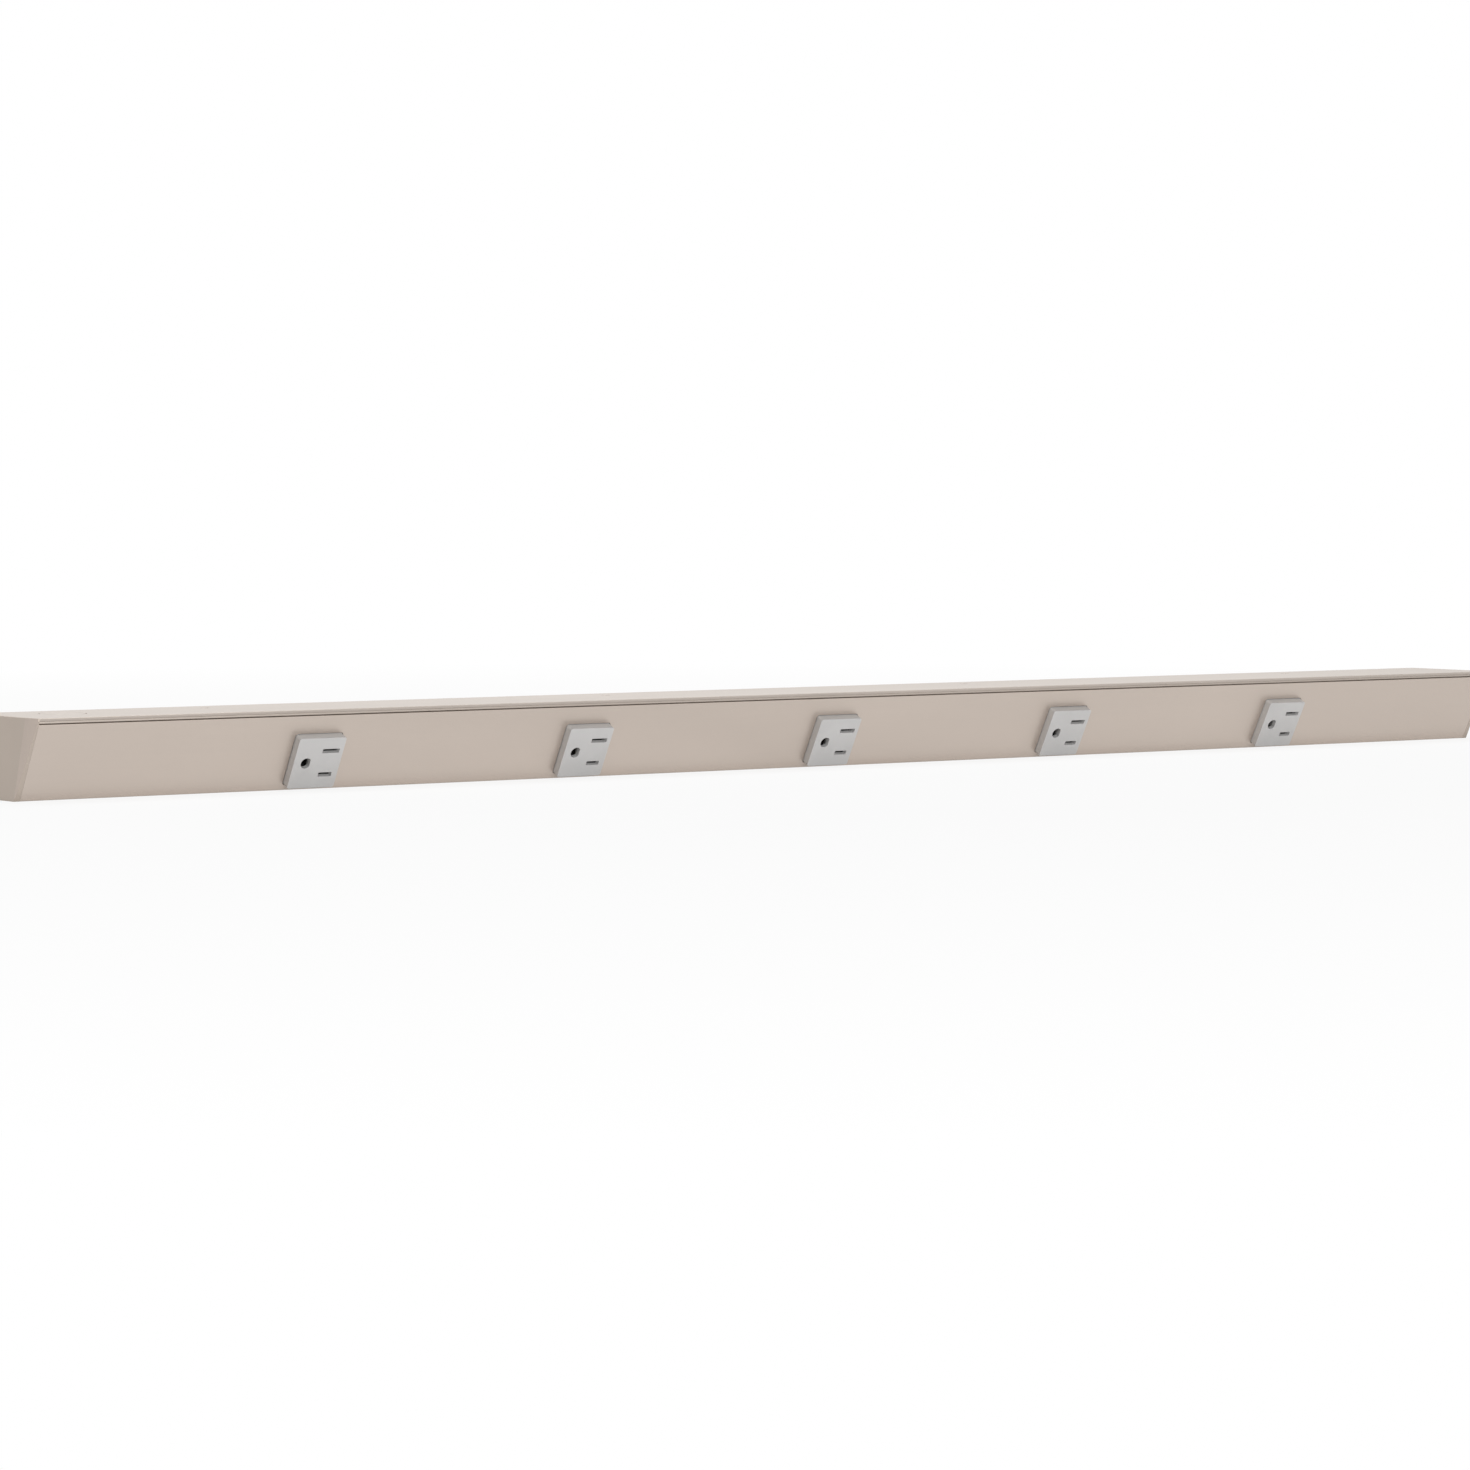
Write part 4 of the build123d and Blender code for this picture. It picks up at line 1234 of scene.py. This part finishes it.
# %% [markdown]
# ## Soft copies of the CAD pieces
#
# The shutters, the mouldings behind the faces, the contacts, the lug and the ground screw have
# the right shape already, and only lack soft edges. A CAD mesh arrives as loose triangles, so a
# copy is merged first, its flat triangles are dissolved into whole faces, and then its sharp
# edges get a small bevel, narrow on folded strip and wider on moulded plastic.

# %% Soft copies
FLAT_ANGLE = math.radians(1)
EDGE_WIDTHS = {"shutter": 0.15, "receptacle_base": 0.2, "contact": 0.06, "lug": 0.08, "ground_screw": 0.12}


def soft_copy(node_name, finish, slot_name, body="housing"):
    """A copy of a CAD node with whole faces and soft edges, in the node's place."""
    mesh = nodes[node_name].data.copy()
    shell = bmesh.new()
    shell.from_mesh(mesh)
    bmesh.ops.remove_doubles(shell, verts=shell.verts, dist=WELD)
    bmesh.ops.dissolve_limit(shell, angle_limit=FLAT_ANGLE, verts=shell.verts, edges=shell.edges)
    shell.to_mesh(mesh)
    shell.free()
    mesh.materials.clear()
    mesh.materials.append(finish)
    piece = soften(show(f"{node_name}_soft", mesh), EDGE_WIDTHS[slot_name])
    stand_for(piece, node_name, body)


for number in NUMBERS:
    soft_copy(f"shutter_{number}", shutter_plastic, "shutter", f"shutter_{number}_body")
    soft_copy(f"receptacle_base_{number}", base_plastic, "receptacle_base")
    for kind in ("neutral_contact", "hot_contact", "ground_contact"):
        soft_copy(f"{kind}_{number}", contact_brass, "contact")
soft_copy("ground_lug", lug_tin, "lug")
soft_copy("ground_screw", green_plating, "ground_screw")

# %% [markdown]
# ## Floor and background
#
# The strip lies on a pale floor that runs out to a white horizon. Near the strip the floor is
# partly a plain diffuse surface, which catches the soft shadow. To the camera and in reflections
# it also glows, more so further out, so that it melts into the white world behind. Light Path
# tells the kinds of ray apart, so that the glow adds no light to the strip. In reflections the
# glow is weaker right beside the strip, so its lowest edge mirrors the floor's real shadow.
# From below the floor can be seen through, like a sheet of glass, so that the underside shows.

# %% Ray helpers
SHADOW_REACH = 7.0
SHADOW_GLOW = 0.55


def paths(tree):
    """Factors of 1 for rays from the camera, and for rays that look into a reflection or glass."""
    path = tree.nodes.new("ShaderNodeLightPath").outputs
    return path["Is Camera Ray"], maths(tree, "MAXIMUM", path["Is Glossy Ray"], path["Is Transmission Ray"])


def clear_of_strip(tree, place):
    """A factor that rises beside the strip's footprint, and is 1 where its shadow ends."""
    front = face_y(FLOOR_Z)
    middle = Vector((0, (front + BACK_Y) / 2, 0)) * MM
    half = Vector((LENGTH / 2, (BACK_Y - front) / 2, 0)) * MM
    moved = add(tree, "ShaderNodeVectorMath", {0: place, 1: middle}, operation="SUBTRACT")
    folded = add(tree, "ShaderNodeVectorMath", {0: moved}, operation="ABSOLUTE")
    beyond = add(tree, "ShaderNodeVectorMath", {0: folded, 1: half}, operation="SUBTRACT")
    apart = add(tree, "ShaderNodeSeparateXYZ", {"Vector": beyond}).node.outputs
    gap = maths(tree, "MAXIMUM", apart["X"], apart["Y"])
    reach = {"Value": gap, "From Max": SHADOW_REACH * MM, "To Min": SHADOW_GLOW}
    return add(tree, "ShaderNodeMapRange", reach)


# %% [markdown]
# The floor's material mixes three shaders. Diffuse white and glow are mixed by the kind of ray
# and by the distance from the strip, and both give way to clear glass for a camera below. The
# floor is large, so its own size and the reach of its glow are in metres.

# %% Floor
FLOOR_SIZE = 60.0
FLOOR_GAP = 0.2
FLOOR_WHITE = (0.85, 0.85, 0.85, 1)
NEAR = 0.35
FAR = 1.4
NEAR_GLOW = 0.87


def floor_material():
    """A pale floor that keeps a soft shadow, glows further out and is clear from below."""
    material, tree = blank(bpy.data.materials, "floor_white")
    camera_ray, reflection = paths(tree)
    place = add(tree, "ShaderNodeTexCoord", out="Object")
    distance = add(tree, "ShaderNodeVectorMath", {0: place}, "Value", operation="LENGTH")
    reach = {"Value": distance, "From Min": NEAR, "From Max": FAR, "To Min": NEAR_GLOW}
    seen = maths(tree, "MULTIPLY", add(tree, "ShaderNodeMapRange", reach), camera_ray)
    mirrored = maths(tree, "MULTIPLY", clear_of_strip(tree, place), reflection)
    above = add(tree, "ShaderNodeMixShader", {
        "Fac": maths(tree, "MAXIMUM", seen, mirrored),
        1: add(tree, "ShaderNodeBsdfDiffuse", {"Color": FLOOR_WHITE}),
        2: add(tree, "ShaderNodeEmission", {"Strength": 1.0}),
    })
    underneath = add(tree, "ShaderNodeNewGeometry", out="Backfacing")
    both_sides = add(tree, "ShaderNodeMixShader", {
        "Fac": maths(tree, "MULTIPLY", underneath, camera_ray),
        1: above,
        2: add(tree, "ShaderNodeBsdfTransparent"),
    })
    add(tree, "ShaderNodeOutputMaterial", {"Surface": both_sides})
    return material


floor_outline = centred(FLOOR_SIZE, FLOOR_SIZE)
floor = bpy.data.meshes.new("floor")
floor.from_pydata([(x, y, (FLOOR_Z - FLOOR_GAP) * MM) for x, y in floor_outline], [], [(0, 1, 2, 3)])
floor.materials.append(floor_material())
show("floor", floor)
print("floor is", FLOOR_SIZE, "m wide")

# %% [markdown]
# ## World
#
# The world is white where the camera or a reflection sees it. As light it is much weaker, and it
# acts as the large white room that product photographs are taken in.

# %% World
ROOM_LIGHT = 0.25

world, tree = blank(bpy.data.worlds, "studio")
seen = maths(tree, "MAXIMUM", *paths(tree))
strength = add(tree, "ShaderNodeMapRange", {"Value": seen, "To Min": ROOM_LIGHT})
room = add(tree, "ShaderNodeBackground", {"Color": (1, 1, 1, 1), "Strength": strength})
add(tree, "ShaderNodeOutputWorld", {"Surface": room})
bpy.context.scene.world = world
print("world", world.name, "is set")

# %% [markdown]
# ## Lamps
#
# Two long softboxes light the strip. Like the camera, they are placed in Blender's own metres, not
# in millimetres. The one overhead makes the top plate the brightest surface, and its light comes
# back from the floor onto the leaning face. It hangs slightly behind the strip, so that the walls
# of the receptacles, which face up and sideways, stay in the shade and stand out as grey rims. The
# one in front is low and wide, and fills the leaning face evenly.

# %% Lamps
def softbox(name, place, width, height, power):
    """A rectangular area lamp at a place, aimed at the strip."""
    lamp = bpy.data.lights.new(name, "AREA")
    lamp.shape = "RECTANGLE"
    lamp.size = width
    lamp.size_y = height
    lamp.energy = power
    holder = show(name, lamp)
    holder.location = place
    holder.rotation_euler = (-Vector(place)).to_track_quat("-Z", "Y").to_euler()
    print(name, "at", place, "with", power, "W")


softbox("overhead_softbox", (-0.1, 0.25, 1.9), width=2.4, height=1.0, power=26)
softbox("front_softbox", (-0.6, -3.5, 0.25), width=2.4, height=0.5, power=57)

# %% [markdown]
# ## Camera
#
# The camera's place was worked out from the photograph: blade slots and pin holes have a standard
# spacing, so their places in the picture fix where the camera stood. It looks from the left and
# slightly from above, with a long lens, which keeps the two long edges almost parallel.

# %% Camera
CAMERA_PLACE = (-1.4815, -1.9381, 0.1046)
DOWN_DEGREES = 2.989
RIGHT_DEGREES = 36.546

camera_data = bpy.data.cameras.new("camera")
camera_data.sensor_width = 36.0
camera_data.lens = 117.9
camera_data.clip_end = 200.0
camera = show("camera", camera_data)
camera.location = CAMERA_PLACE
camera.rotation_euler = Euler((math.radians(90 - DOWN_DEGREES), 0, math.radians(-RIGHT_DEGREES)))
bpy.context.scene.camera = camera
bpy.context.scene.view_settings.view_transform = "Standard"
print("camera lens", camera_data.lens, "mm")
